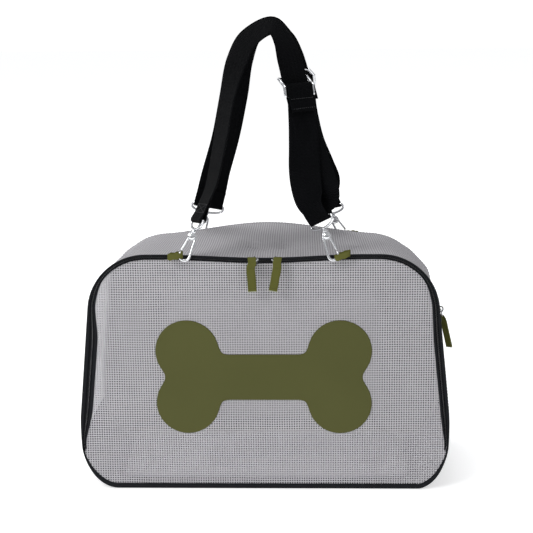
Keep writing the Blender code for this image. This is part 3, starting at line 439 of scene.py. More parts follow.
def outline(off=0.0, bulge=0.0, rear=0.0):
    """The body's outline, as in the CAD, with finer stations."""
    w0, w1, foot, top = W_FOOT - off, W_FOOT - TAPER * H - off, off, H - off
    c = fillet([(w0, foot), (w1, top), (-w1, top), (-w0, foot)], [R_FOOT - off, R_TOP - off, R_TOP - off, R_FOOT - off], SEG)
    n = SEG + 1
    br, tr, tl, bl = c[:n], c[n:2 * n], c[2 * n:3 * n], c[3 * n:]

    def between(a, b, m):
        return [(a[0] + (b[0] - a[0]) * k / m, a[1] + (b[1] - a[1]) * k / m) for k in range(1, m)]
    pts = br + between(br[-1], tr[0], SIDE_N) + tr + between(tr[-1], tl[0], TOP_N) + tl
    pts += between(tl[-1], bl[0], SIDE_N) + bl + between(bl[-1], br[0], FOOT_N)
    out = []
    for x, z in pts:
        cx, cz = W_FOOT - R_FOOT, R_FOOT                # the foot's corners are a little squarer than an arc
        if z < cz and abs(x) > cx:
            a = math.atan2(cz - z, abs(x) - cx)
            push = (0.0050 if x > 0 else 0.0034) * math.sin(a) ** 2 * math.sin(2 * a) / 0.65
            x, z = x + math.copysign(push * math.cos(a), x), max(off, z - push * math.sin(a))
        x += math.copysign(swell(z) * smooth01((abs(x) - 0.14) / 0.04), x)
        g = 1.0 - ((z - 0.11) / 0.11) ** 2
        if g > 0 and abs(x) > 0.17:
            x += math.copysign(bulge * g, x)
        if z > H * 0.8:
            z -= DROOP * smooth01(1.0 - abs(x) / 0.125) * (1.0 - rear)
        x *= 1.0 - 0.045 * rear * smooth01((z - 0.222) / 0.045)     # the shoulders narrow towards the back
        if z > 0.235:
            z -= REAR_DROP * rear * smooth01(abs(x) / 0.155) * min(1.0, (z - 0.235) / 0.05)
        out.append((x, z))
    return out


I_RIGHT = SEG
I_TR = SEG + SIDE_N
I_TL = I_TR + SEG + TOP_N
I_LEFT = I_TL + SEG + SIDE_N
N_OUT = len(outline())


def belly(y):
    return BULGE * (1.0 - (y / (DEPTH / 2)) ** 2)


DEPTH = YB - YF


def section(off, y):
    return outline(off, belly(y), (y - YF) / DEPTH)


def width_at(x, z):
    """How wide the front's black bands run at a place, against the CAD: slimmer along
    the top, wider down the left side, where the cloth rolls in, and along the foot."""
    k = 1.0 - 0.34 * smooth01((z - 0.243) / 0.035)
    mid = smooth01((z - 0.060) / 0.045) * (1.0 - smooth01((z - 0.190) / 0.050))
    k += (0.66 if x < 0 else 0.22) * mid if abs(x) > 0.15 else 0.0
    k *= 1.0 - 0.36 * math.exp(-((z - 0.055) / 0.018) ** 2)
    return k + 0.95 * (1.0 - smooth01(z / 0.045))


def front_line(off, y=None):
    """The front outline inset by `off`, at the bands' own width."""
    return [(a[0] + (b[0] - a[0]) * k, a[1] + (b[1] - a[1]) * k)
            for a, b, k in ((a, b, width_at(*a)) for a, b in zip(outline(0.0), outline(off)))]


def depth_at(z):
    """Where the rim and the strip behind it end at height z: shallow along the top."""
    t = smooth01((z - 0.225) / 0.045)
    return Y_RIM - 0.0036 * t, Y_STRIP - (Y_STRIP - Y_RIM + 0.0030) * t


def run(poly, i0, i1):
    n = len(poly)
    return [poly[k % n] for k in range(i0, i1 + 1)]


def rounded(o0, o1, y0, y1, r, n=3):
    """Closed cross-section of a band, (off, y), with rounded corners."""
    pts = fillet([(o1, y0), (o1, y1), (o0, y1), (o0, y0)], [min(r, abs(o1 - o0) * 0.49, abs(y1 - y0) * 0.49)] * 4, n)
    return [(p[0], p[1]) for p in pts]


def band(cs, i0=None, i1=None, fn=section):
    """A band along the outline with the cross-section cs."""
    lines = [fn(o, y) for o, y in cs]
    if i0 is not None:
        lines = [run(l, i0, i1) for l in lines]
    n = len(lines[0])
    P = [[(lines[j][k][0], cs[j][1], lines[j][k][1]) for j in range(len(cs))] for k in range(n)]
    return grid(P, loop_i=i0 is None, loop_j=True, caps=i0 is not None)


def tube(path, r, nrm=None, closed=False, sides=14, cap=True):
    """Round bar along a path; r is a radius or one for each point."""
    path = [Vector(p) for p in path]
    n = len(path)
    rows = []
    ref = Vector(nrm).normalized() if nrm is not None else None
    for i, p in enumerate(path):
        a = path[i - 1] if (closed or i) else p
        b = path[(i + 1) % n] if (closed or i < n - 1) else p
        t1 = (p - a).normalized() if (p - a).length > 1e-9 else (b - p).normalized()
        t2 = (b - p).normalized() if (b - p).length > 1e-9 else t1
        t = (t1 + t2).normalized()
        if ref is None:
            ref = t.orthogonal().normalized()
        nn = (ref - t * ref.dot(t)).normalized()
        if nrm is None:
            ref = nn
        side = nn.cross(t)
        rr = r[i] if isinstance(r, (list, tuple)) else r
        mit = 1.0 / max(0.6, t.dot(t1))
        rows.append([p + side * (rr * mit * math.cos(2 * math.pi * k / sides)) + nn * (rr * math.sin(2 * math.pi * k / sides))
                     for k in range(sides)])
    return grid(rows, loop_i=closed, loop_j=True, caps=cap and not closed)


def capsule(p0, p1, r, sides=8, rings=3):
    """A rod with round ends."""
    p0, p1 = Vector(p0), Vector(p1)
    d = (p1 - p0).normalized()
    pts, rad = [], []
    for k in range(rings):
        a = math.pi / 2 * k / rings
        pts.append(p0 + d * (r - r * math.cos(a)))
        rad.append(max(1e-5, r * math.sin(a)))
    pts += [p0 + d * r, p1 - d * r]
    rad += [r, r]
    for k in range(rings - 1, -1, -1):
        a = math.pi / 2 * k / rings
        pts.append(p1 - d * (r - r * math.cos(a)))
        rad.append(max(1e-5, r * math.sin(a)))
    return tube(pts, rad, sides=sides)


def rail(path, sub):
    """A smooth path through points."""
    p = [Vector(q) for q in path]
    out = []
    for i in range(len(p) - 1):
        a, b, c, d = p[max(i - 1, 0)], p[i], p[i + 1], p[min(i + 2, len(p) - 1)]
        for s in range(sub):
            t = s / sub
            out.append(0.5 * ((2 * b) + (c - a) * t + (2 * a - 5 * b + 4 * c - d) * t * t + (3 * b - a - 3 * c + d) * t ** 3))
    out.append(p[-1])
    return out


def lathe(profile, c, axis, ref, sides=28):
    """Turned solid from (r, h) points."""
    axis = Vector(axis).normalized()
    ref = (Vector(ref) - axis * Vector(ref).dot(axis)).normalized()
    oth = axis.cross(ref)
    c = Vector(c)
    P = [[c + axis * h + ref * (max(r, 1e-6) * math.cos(2 * math.pi * k / sides)) + oth * (max(r, 1e-6) * math.sin(2 * math.pi * k / sides))
          for k in range(sides)] for r, h in profile]
    return grid(P, loop_j=True, caps=True) if profile[0][0] < 1e-9 else grid(P, loop_i=True, loop_j=True)


def eased(profile, r, n=3, closed=True):
    """Rounds the corners of a lathe profile."""
    pts = [Vector(p) for p in profile]
    out = []
    m = len(pts)
    for i in range(m):
        if not closed and i in (0, m - 1):
            out.append(tuple(pts[i]))
            continue
        p, a, b = pts[i], pts[i - 1], pts[(i + 1) % m]
        q = min(r, (a - p).length * 0.45, (b - p).length * 0.45)
        s, e = p + (a - p).normalized() * q, p + (b - p).normalized() * q
        for k in range(n + 1):
            t = k / n
            out.append(tuple(s * (1 - t) ** 2 + p * (2 * t * (1 - t)) + e * t * t))
    return out


def placed(solid, origin, ax, ay, az):
    v, f, u = solid
    return [origin + ax * p[0] + ay * p[1] + az * p[2] for p in v], f, u


def spline(keys, sub):
    """Catmull-Rom through keys of (point, vector), as the CAD's webbing follows."""
    out = []
    for i in range(len(keys) - 1):
        k0, k1, k2, k3 = keys[max(i - 1, 0)], keys[i], keys[i + 1], keys[min(i + 2, len(keys) - 1)]
        n = sub[i] if isinstance(sub, (list, tuple)) else sub
        for s in range(n):
            t = s / n
            res = []
            for a, b, c, d in zip(k0, k1, k2, k3):
                la, lb, lc = (1e-4 + (b - a).length) ** 0.5, (1e-4 + (c - b).length) ** 0.5, (1e-4 + (d - c).length) ** 0.5
                m1 = ((b - a) / la - (c - a) / (la + lb) + (c - b) / lb) * lb
                m2 = ((c - b) / lb - (d - b) / (lb + lc) + (d - c) / lc) * lb
                h = (2 * t ** 3 - 3 * t * t + 1, t ** 3 - 2 * t * t + t, -2 * t ** 3 + 3 * t * t, t ** 3 - t * t)
                res.append(b * h[0] + m1 * h[1] + c * h[2] + m2 * h[3])
            out.append(tuple(res))
    out.append(keys[-1])
    return out


def frames(stations):
    """(point, width direction, face normal, distance along) for each station."""
    out, run_ = [], 0.0
    n = len(stations)
    for i, (p, w) in enumerate(stations):
        t = (stations[min(i + 1, n - 1)][0] - stations[max(i - 1, 0)][0]).normalized()
        w = (w - t * w.dot(t)).normalized()
        if i:
            run_ += (p - stations[i - 1][0]).length
        out.append((p, w, w.cross(t), run_))
    return out


def ribbon(stations, width, thick, across=12, sag=0.0, widths=None):
    """Webbing with rounded, slightly raised edges.  UV: across and along, in metres."""
    fr = frames(stations)
    half = width / 2
    cs = []
    for k in range(across + 1):
        a = -half + 0.0007 + (width - 0.0014) * k / across
        e = abs(a) / half
        cs.append((a, thick / 2 * (0.90 + 0.10 * smooth01((e - 0.86) / 0.08))))
    cs.append((half - 0.0002, thick * 0.32))
    cs.append((half, 0.0))
    cs.append((half - 0.0002, -thick * 0.32))
    for k in range(across + 1):
        a = half - 0.0007 - (width - 0.0014) * k / across
        e = abs(a) / half
        cs.append((a, -thick / 2 * (0.90 + 0.10 * smooth01((e - 0.86) / 0.08))))
    cs.append((-half + 0.0002, -thick * 0.32))
    cs.append((-half, 0.0))
    cs.append((-half + 0.0002, thick * 0.32))
    P = []
    for i, (p, w, m, s) in enumerate(fr):
        k = widths[i] if widths else 1.0
        P.append([p + w * (a * k) + m * b for a, b in cs])
    nj = len(cs)
    return grid(P, loop_j=True, caps=True, uv=lambda i, j: (cs[j % nj][0], fr[min(i, len(fr) - 1)][3]))


def inside(poly, x, z):
    c = False
    n = len(poly)
    for i in range(n):
        x1, z1 = poly[i]
        x2, z2 = poly[(i + 1) % n]
        if (z1 > z) != (z2 > z) and x < (x2 - x1) * (z - z1) / (z2 - z1) + x1:
            c = not c
    return c


def fill(loops, step):
    """Even triangles inside the first loop, through all loops: (points, faces)."""
    pts, edges = [], []
    for l in loops:
        n = len(pts)
        pts += [Vector(p) for p in l]
        edges += [(n + k, n + (k + 1) % len(l)) for k in range(len(l))]
    core = loops[-1]
    xs, zs = [p[0] for p in core], [p[1] for p in core]
    hard = [Vector(p) for p in core]
    row = 0
    z = min(zs) + step / 2
    cells = {}
    for p in hard:
        cells.setdefault((int(p.x // step), int(p.y // step)), []).append(p)
    while z < max(zs):
        x = min(xs) + step * (0.5 if row % 2 else 1.0) - step
        while x < max(xs):
            i, j = int(x // step), int(z // step)
            close = any((q.x - x) ** 2 + (q.y - z) ** 2 < (0.62 * step) ** 2
                        for a in (i - 1, i, i + 1) for b in (j - 1, j, j + 1) for q in cells.get((a, b), ()))
            if not close and inside(core, x, z):
                pts.append(Vector((x, z)))
            x += step
        row += 1
        z += step * 0.866
    v, e, f, *_ = geometry.delaunay_2d_cdt(pts, edges, [], 1, 1e-7)
    return [tuple(p) for p in v], [tuple(q) for q in f]


def wobble(x, y, z, size, seed=0.0):
    return noise.noise(Vector((x / size + seed, y / size - seed * 0.7, z / size + seed * 0.3)))


# ------------------------------------------------- straps: frames from the CAD
class Lean:
    """Leaning plane of a strap: x along X, s up the slope, `out` away from the bag."""

    def __init__(self, origin, apex):
        self.o = Vector(origin)
        self.u = (Vector(apex) - self.o).normalized()
        self.out = X.cross(self.u)
        if self.out.y * self.o.y < 0:
            self.out = -self.out

    def at(self, x, s, m=0.0):
        return self.o + X * x + self.u * s + self.out * m


FRONT = Lean((0, -0.1070, 0.2950), (0, -0.0175, 0.5730))
REAR = Lean((0, 0.1125, 0.2755), (0, 0.0175, 0.5730))
REAR_RISE = 0.0065
LX, LY, LZ = Vector((1, 0, 0)), Vector((0, 1, 0)), Vector((0, 0, 1))
WIRE, TIP = 0.0017, 0.00130
A_RIVET, A_EYE, A_BAR = 0.0310, 0.0408, 0.0525


def hook_solids(g):
    """Snap hook parts in local axes (across, out, along); g is the gate's side."""
    h = -g
    R = 0.0060
    path = [(h * 0.0044, -0.0010, 0.0315), (h * 0.0050, -0.0006, 0.0270), (h * 0.0054, 0, 0.0180), (h * R, 0, 0.0100), (h * R, 0, R)]
    for k in range(1, 9):
        a = math.pi * k / 8
        path.append((h * R * math.cos(a), 0, R - R * math.sin(a)))
    path.append((-h * R, 0, 0.0088))
    p = rail(path, 3)
    rad = [WIRE * (1.0 if i < len(p) - 4 else 1.0 - 0.09 * (i - len(p) + 4)) for i in range(len(p))]
    body = Bag()
    body.add(*tube(p, rad, LY, sides=16))
    body.add(*lathe(eased([(0.0019, -0.0026), (0.0054, -0.0026), (0.0054, -0.0002), (0.0019, -0.0002)], 0.0006), (0, 0, A_RIVET), LY, LX, 32))
    body.add(*lathe(eased([(0, 0.0352), (0.0026, 0.0352), (0.0034, 0.0362), (0.0034, 0.0386), (0.0017, 0.0386), (0.0017, 0.0366), (0, 0.0366)],
                          0.0005, closed=False), (0, 0, 0), LZ, LX, 28))
    body.add(*lathe(eased([(0, 0.0340), (0.0022, 0.0340), (0.0022, 0.0356), (0, 0.0356)], 0.0004, closed=False), (0, 0, 0), LZ, LX, 20))
    gate = Bag()
    gate.add(*lathe(eased([(0.0019, 0.0001), (0.0042, 0.0001), (0.0042, 0.0025), (0.0019, 0.0025)], 0.0005), (0, 0, A_RIVET), LY, LX, 28))
    gate.add(*capsule((g * 0.0029, 0.0013, 0.0290), (g * 0.0061, 0.0013, 0.0100), TIP, 14, 4))
    rivet = Bag()
    dome = [(0, -0.0041), (0.0018, -0.0040), (0.0032, -0.0036), (0.0040, -0.0030), (0.0040, -0.0028), (0.0016, -0.0028),
            (0.0016, 0.0027), (0.0040, 0.0027), (0.0040, 0.0030), (0.0032, 0.0036), (0.0018, 0.0040), (0, 0.0041)]
    rivet.add(*lathe(dome, (0, 0, A_RIVET), LY, LX, 28))
    return body, gate, rivet


def eye_solid():
    path = []
    for k in range(7):
        a = math.pi / 2 * k / 6
        path.append((0.0184 + 0.0026 * math.sin(a), 0, A_BAR - 0.0026 + 0.0026 * math.cos(a)))
    for k in range(1, 36):
        a = math.pi * k / 36
        path.append((0.0210 * math.cos(a), 0, 0.0480 - (0.0480 - A_EYE) * math.sin(a)))
    for k in range(7):
        a = math.pi / 2 * (6 - k) / 6
        path.append((-0.0184 - 0.0026 * math.sin(a), 0, A_BAR - 0.0026 + 0.0026 * math.cos(a)))
    path = path + [(x, 0, A_BAR) for x in (-0.012, -0.004, 0.004, 0.012)]
    b = Bag()
    b.add(*tube(path, 0.0016, LY, closed=True, sides=14))
    b.add(*lathe(eased([(0, 0.0369), (0.0014, 0.0369), (0.0014, 0.0384), (0.0021, 0.0396), (0.0024, 0.0412), (0, 0.0416)], 0.0003, closed=False),
                 (0, 0, 0), LZ, LX, 20))
    return b


HOOKS = {1: hook_solids(1), -1: hook_solids(-1)}
EYE = eye_solid()


def hook(tag, plane, foot_x, lean, psi, body):
    g = -1 if foot_x < 0 else 1
    lean = math.radians(lean)
    foot = plane.at(foot_x, 0.0)
    d = X * math.sin(lean) + plane.u * math.cos(lean)
    u = X * math.cos(lean) - plane.u * math.sin(lean)
    hb, gt, rv = HOOKS[g]
    for part, b, end in ((hb, tag, "_body"), (gt, tag + "_gate", "_gate"), (rv, tag, "_rivet")):
        v, f, uu = placed((part.v, part.f, part.u), foot, u, plane.out, d)
        piece(tag + end + "_piece", v, f, CHROME, b, "bright_metal", uvs=uu, replaces=(tag + end,), smooth=40)
    psi = math.radians(psi)
    inner = u * (-g)
    w = inner * math.cos(psi) + plane.out * math.sin(psi)
    m = d.cross(w)
    v, f, uu = placed((EYE.v, EYE.f, EYE.u), foot, w, m, d)
    piece(tag + "_eye_piece", v, f, CHROME, body, "bright_metal", uvs=uu, replaces=(tag + "_eye",), smooth=40)
    # webbing loop round the hook's closed side
    x0, x1 = foot_x + g * 0.0185, foot_x - g * (0.0006 + 0.05 * max(0.0, abs(lean) - 0.39))
    side = 1 if plane.o.y > 0 else -1
    near, far = (YB if side > 0 else -YF) + 0.0005, abs(plane.o.y) + 0.0036
    zc = foot.z + 0.0054
    cx, hx = (x0 + x1) / 2, abs(x0 - x1) / 2
    hx -= 0.0006
    r = min(hx, (far - near) / 2) * 0.85
    ring = fillet([(cx + hx, near + 0.0007), (cx + hx, far - 0.0007), (cx - hx, far - 0.0007), (cx - hx, near + 0.0007)], [r] * 4, 7)
    mid = []
    for k in range(len(ring)):                      # extra stations on the straight runs
        a, b = ring[k], ring[(k + 1) % len(ring)]
        mid.append(a)
        gap = math.hypot(b[0] - a[0], b[1] - a[1])
        for q in range(1, max(1, int(gap / 0.0016))):
            t = q / max(1, int(gap / 0.0016))
            mid.append((a[0] + (b[0] - a[0]) * t, a[1] + (b[1] - a[1]) * t))
    hgt, th = 0.0038, 0.00065
    cs = [(hgt * a, th * b) for a, b in ((-1, 0), (-0.96, 0.7), (-0.8, 1), (-0.4, 0.92), (0, 0.9), (0.4, 0.92), (0.8, 1), (0.96, 0.7),
                                         (1, 0), (0.96, -0.7), (0.8, -1), (0.4, -0.92), (0, -0.9), (-0.4, -0.92), (-0.8, -1), (-0.96, -0.7))]
    n = len(mid)
    P, s, S = [], 0.0, []
    for k in range(n):
        a, b, c = mid[k - 1], mid[k], mid[(k + 1) % n]
        t = Vector((c[0] - a[0], c[1] - a[1])).normalized()
        nn = Vector((t.y, -t.x))
        S.append(s)
        s += math.hypot(c[0] - b[0], c[1] - b[1])
        tilt = (0.0 if side > 0 else (0.34 if g > 0 else 0.16)) * (b[0] - cx)
        wv = 0.00035 * wobble(b[0], b[1], zc, 0.006, 3.0)
        P.append([(b[0] + nn.x * (q + wv), side * (b[1] + nn.y * (q + wv)), zc + a_ * (1.0 + 0.12 * math.sin(b[0] * 900.0)) + tilt + 0.0003 * wobble(b[0], b[1], 0, 0.004, 9.0))
                  for a_, q in cs])
    S.append(s)
    v, f, uu = grid(P, loop_i=True, loop_j=True, uv=lambda i, j: (cs[j % len(cs)][0], S[i]))
    piece(tag.replace("hook", "loop") + "_piece", v, f, OLIVE_LOOP, body, "olive_webbing", uvs=uu, replaces=(tag.replace("hook", "loop"),), smooth=70)
    return foot + d * A_BAR, w, d


def stitches(bag, p0, p1, normal, length=0.0021, gap=0.0009, r=0.00026):
    """A row of sewn stitches from p0 to p1, half sunk in the cloth."""
    p0, p1 = Vector(p0), Vector(p1)
    d = p1 - p0
    n = max(1, int(round((d.length + gap) / (length + gap))))
    t = d.normalized()
    L = (d.length + gap) / n - gap
    for k in range(n):
        a = p0 + t * (k * (L + gap))
        bag.add(*capsule(a + normal * 0.00004, a + t * L + normal * 0.00004, r, 6, 2))


def strap(tag, plane, left, right, left_keys, apex, right_keys, front_keys, adj, spread=0.0036):
    body = "strap_" + tag
    lb, lw, ld = hook("hook_" + tag + "_left", plane, *left, body)
    rb, rw, rd = hook("hook_" + tag + "_right", plane, *right, body)

    def width_dir(tx, ts, psi):
        p = math.radians(psi)
        inner = (X * ts - plane.u * tx).normalized()
        return inner * math.cos(p) + plane.out * math.sin(p)

    def face(w, t):
        m = w.cross(t).normalized()
        return m if m.dot(plane.out) > 0 else -m

    R = 0.0032
    keys = []
    lm = face(lw, ld)
    tail = 0.0230
    keys.append((lb + ld * tail - lm * 0.0011, lw))
    keys.append((lb + ld * 0.0090 - lm * 0.0017, lw))
    for k in range(5):
        a = math.pi * k / 4
        keys.append((lb - ld * (R * math.sin(a)) - lm * (R * math.cos(a)), lw))
    keys.append((lb + ld * 0.0090 + lm * 0.0017, lw))
    keys.append((lb + ld * tail + lm * 0.0011, lw))
    i_tail = len(keys) - 1
    flat = left_keys + [apex] + right_keys
    for i, (x, s, psi) in enumerate(flat):
        a = flat[i - 1] if i else (left_keys[0][0] - 0.002, left_keys[0][1] - 0.02, 0)
        b = flat[i + 1] if i < len(flat) - 1 else (x + (x - a[0]), s + (s - a[1]), 0)
        keys.append((plane.at(x, s), width_dir(b[0] - a[0], b[1] - a[1], psi)))
    rm = face(rw, rd)
    keys.append((rb + rd * 0.0130 - rm * spread, rw))
    for k in range(5):
        a = math.pi * k / 4
        keys.append((rb - rd * (R * math.sin(a)) - rm * (R * math.cos(a)), rw))
    keys.append((rb + rd * 0.0130 + rm * spread, rw))
    for i, (x, s, psi, off) in enumerate(front_keys):
        a = front_keys[i - 1] if i else (front_keys[0][0], front_keys[0][1] - 0.02)
        b = front_keys[i + 1] if i < len(front_keys) - 1 else (x + (x - a[0]), s + (s - a[1]))
        tx, ts = -(b[0] - a[0]), -(b[1] - a[1])
        w = width_dir(tx, ts, psi)
        keys.append((plane.at(x, s) + face(w, X * tx + plane.u * ts) * off, w))
    sub = []
    for i in range(len(keys) - 1):
        L = (keys[i + 1][0] - keys[i][0]).length
        sub.append(4 if L < 0.006 else max(5, int(round(L / 0.0028))))
    st = spline(keys, sub)
    v, f, uu = ribbon(st, WEB_W, WEB_T)
    web = piece(body + "_webbing_piece", v, f, STRAP, body, "black_webbing", uvs=uu, replaces=(body + "_webbing",), smooth=60)
    length = frames(st)[-1][3]

    # box of stitches where the left end is sewn to itself
    sew = Bag()
    fr = frames(st)
    lo, hi = sum(sub[:i_tail - 1]), sum(sub[:i_tail])

    def on(k, a, sgn):
        p, w, m, _ = fr[k]
        if m.dot(lm) < 0:
            m = -m
        return p + w * a + m * (sgn * (WEB_T / 2)), m * sgn
    k0, k1 = lo + int((hi - lo) * 0.10), lo + int((hi - lo) * 0.92)
    for sgn in (1,):
        for k in (k0, k1):
            (a, m), (b, _) = on(k, -0.0165, sgn), on(k, 0.0165, sgn)
            stitches(sew, a, b, m)
        for q in (-0.0165, 0.0165):
            (a, m), (b, _) = on(k0, q, sgn), on(k1, q, sgn)
            stitches(sew, a, b, m)
        (a, m), (b, _) = on(k0, -0.0165, sgn), on(k1, 0.0165, sgn)
        stitches(sew, a, b, m)
        (a, m), (b, _) = on(k0, 0.0165, sgn), on(k1, -0.0165, sgn)
        stitches(sew, a, b, m)
    stitching = sew.make(body + "_stitching", THREAD, body, "black_webbing")

    # adjuster and its hem
    ax_, as_, apsi, dx, ds = adj
    t = (X * dx + plane.u * ds).normalized()
    w = width_dir(dx, ds, apsi)
    m = face(w, t)
    c = plane.at(ax_, as_)
    r = 0.0013
    P = lambda a, b, k: c + w * a + t * b + m * k
    hw = 0.0213
    metal = Bag()
    for b, k in ((-0.0120, -0.0025), (0.0, 0.0044), (0.0115, 0.0026)):
        metal.add(*tube([P(-hw, b, k), P(-hw * 0.3, b, k), P(hw * 0.3, b, k), P(hw, b, k)], r, m, sides=16))
    for q in (-1, 1):
        path = rail([P(q * hw, -0.0134, -0.0030), P(q * hw, -0.0110, -0.0020), P(q * hw, -0.0010, 0.0042), P(q * hw, 0.0012, 0.0044),
                     P(q * hw, 0.0129, 0.0023)], 5)
        n = len(path)
        metal.add(*tube(path, [r * 1.45 * (1.0 if 1 < i < n - 2 else (0.92 if i in (1, n - 2) else 0.62)) for i in range(n)], w, sides=16))
    metal.make(body + "_adjuster_piece", CHROME, body + "_adjuster", "bright_metal", replaces=(body + "_adjuster",), smooth=50)
    Rh = 0.0025
    hem = [(P(0, 0.0070, 0.0044 - Rh + 0.0001), w), (P(0, 0.0030, 0.0044 - Rh), w)]
    for k in range(5):
        a = math.pi * k / 4
        hem.append((P(0, -Rh * math.sin(a), 0.0044 - Rh * math.cos(a)), w))
    hem += [(P(0, 0.0060, 0.0062), w), (P(0, 0.0115, 0.0053), w), (P(0, 0.0180, 0.0046), w), (P(0, 0.0330, 0.0044), w)]
    hs = spline(hem, 5)
    v, f, uu = ribbon(hs, WEB_W, WEB_T)
    hp = piece(body + "_hem_piece", v, f, STRAP, body + "_adjuster", "black_webbing", uvs=uu, replaces=(body + "_hem",), smooth=60)
    sew = Bag()
    hf = frames(hs)
    for k in (len(hf) - 3, len(hf) - 7):
        p, ww, mm, _ = hf[k]
        if mm.dot(m) < 0:
            mm = -mm
        top = p + mm * (WEB_T / 2)
        stitches(sew, top - ww * 0.0165, top + ww * 0.0165, mm)
    hs_ = sew.make(body + "_hem_stitching", THREAD, body + "_adjuster", "black_webbing")
    return length


LEN_FRONT = strap("front", FRONT, (-0.0960, 21, 66), (0.0875, -19, -50),
      [(-0.0620, 0.0900, 64), (-0.0510, 0.1460, 60), (-0.0430, 0.1960, 56), (-0.0320, 0.2400, 44), (-0.0160, 0.2710, 42)],
      (0.0120, 0.2860, 44),
      [(0.0255, 0.2680, 50), (0.0335, 0.2430, 38), (0.0397, 0.2180, 36), (0.0459, 0.1930, 36), (0.0540, 0.1600, 34),
       (0.0595, 0.1300, 18), (0.0690, 0.1000, 0), (0.0755, 0.0780, -22)],
      [(0.0560, 0.0780, -22, 0.0020), (0.0515, 0.1050, 0, 0.0050), (0.0490, 0.1350, 16, 0.0060), (0.0470, 0.1620, 28, 0.0044),
       (0.0453, 0.1890, 36, 0.0024)],
      (0.0413, 0.2115, 36, 0.0124, -0.0500), spread=0.0070)


def raised(keys):
    return [(k[0], k[1] + REAR_RISE) + tuple(k[2:]) for k in keys]


LEN_REAR = strap("rear", REAR, (-0.0930, 15, 6), (0.1020, -25, 20),
      raised([(-0.0680, 0.0900, 14), (-0.0525, 0.1450, 18), (-0.0405, 0.2020, 18), (-0.0310, 0.2520, 26), (-0.0165, 0.2840, 36)]),
      raised([(0.0120, 0.3010, 44)])[0],
      raised([(0.0265, 0.2850, 48), (0.0340, 0.2600, 34), (0.0400, 0.2350, 30), (0.0460, 0.2100, 30), (0.0510, 0.1760, 28),
       (0.0580, 0.1420, 25), (0.0700, 0.1080, 22), (0.0780, 0.0820, 20)]),
      raised([(0.0690, 0.0840, 20, 0.0020), (0.0590, 0.1130, 22, 0.0030), (0.0520, 0.1450, 26, 0.0040), (0.0485, 0.1780, 30, 0.0030),
       (0.0463, 0.2060, 30, 0.0024)]),
      raised([(0.0415, 0.2285, 30, 0.0120, -0.0500)])[0])


# ---------------------------------------------------------------- the bag body
def rim_rows():
    """The rim's rows: its cross-section at every station of the front outline."""
    cs = rounded(0.0, RIM_W, 0.0, 0.0080, 0.0014)
    lines = [front_line(o) for o, _ in cs]
    base = outline(0.0)
    rows = []
    for k in range(N_OUT):
        back = (depth_at(base[k][1])[0] - YF) / 0.0080
        rows.append([(lines[j][k][0], YF + cs[j][1] * back, lines[j][k][1]) for j in range(len(cs))])
    return rows


v, f, u = grid(rim_rows(), loop_i=True, loop_j=True)
piece("front_rim_piece", v, f, BLACK, "bag", "black_fabric", uvs=u, replaces=("front_rim",))

rows = []
base = run(outline(0.0), I_RIGHT, I_LEFT)
for k, (bx, bz) in enumerate(base):
    y0, y1 = depth_at(bz)
    y0 += GAP * 0.3
    row = []
    for o, q in ((0.0004, 0.0), (0.0001, 0.03), (0.0001, 0.25), (0.0001, 0.5), (0.0001, 0.75), (0.0001, 0.97), (0.0006, 1.0), (0.0013, 1.0),
                 (0.0019, 0.97), (0.0019, 0.5), (0.0019, 0.03), (0.0014, 0.0)):
        y = y0 + (y1 - y0) * q
        row.append((o, y))
    rows.append(row)
cache = {}


def station(off, y, k):
    """Point k of the section at depth y, kept for reuse."""
    q = (round(off, 6), round(y, 5))
    if q not in cache:
        cache[q] = section(off, y)
    return cache[q][k % N_OUT]


P = [[(station(o, y, I_RIGHT + k)[0], y, station(o, y, I_RIGHT + k)[1]) for o, y in rows[k]] for k in range(len(rows))]
v, f, u = grid(P, loop_j=True, caps=True)
strip = piece("rim_strip_piece", v, f, BLACK, "bag", "black_fabric", uvs=u, replaces=("rim_strip",))


def deep_band(off, thick, y0, y1, i0, i1, rows, shape=None):
    """A closed band with stations through its depth, so that it can follow the belly."""
    ys = [y0 + (y1 - y0) * k / rows for k in range(rows + 1)]
    cs = [(off, y) for y in ys] + [(off + thick, y) for y in reversed(ys)]
    return band(cs, i0, i1)


v, f, u = deep_band(0.0, FABRIC, Y_RIM + GAP * 0.3, Y_BIND - GAP * 0.3, I_LEFT, I_RIGHT + N_OUT, 14)
wrap = piece("base_wrap_piece", v, f, BLACK, "bag", "black_fabric", uvs=u, replaces=("base_wrap",))
wrap.data.materials.append(SEAM)                # the wrap is lined with grey on the inside
for k, poly in enumerate(wrap.data.polygons):
    if k < len(f) - 2 and 15 <= k % 30 <= 28:
        poly.material_index = 1
v, f, u = band(rounded(0.0, 0.0045, Y_BIND, YB + 0.0002, 0.0019))
piece("back_binding_piece", v, f, SEAM, "bag", "grey_mesh", uvs=u, replaces=("back_binding",))


def gusset_drop(x, y, z):
    """How far the wall's cloth stands in from its true surface: dents and slack."""
    q = max(0.0, min(1.0, (y - Y_RIM) / (Y_BIND - Y_RIM)))
    mid = 4 * q * (1 - q)
    d = 0.0
    if z > 0.2:
        for cx, cy, rx, ry, a in ((-0.012, -0.008, 0.016, 0.024, 0.0060), (0.027, -0.012, 0.012, 0.020, 0.0050),
                                  (0.004, -0.020, 0.060, 0.048, 0.0042), (0.090, 0.010, 0.050, 0.050, 0.0016),
                                  (-0.095, -0.015, 0.060, 0.050, 0.0014), (0.008, -0.055, 0.008, 0.030, -0.0022)):
            e = ((x - cx) / rx) ** 2 + ((y - cy) / ry) ** 2
            d += a * math.exp(-e * 1.6)
        d *= min(1.0, mid * 1.6)
    d += 0.0009 * mid * wobble(x, y, z, 0.055, 2.0) + 0.0004 * mid * wobble(x, y, z, 0.020, 5.0)
    return d


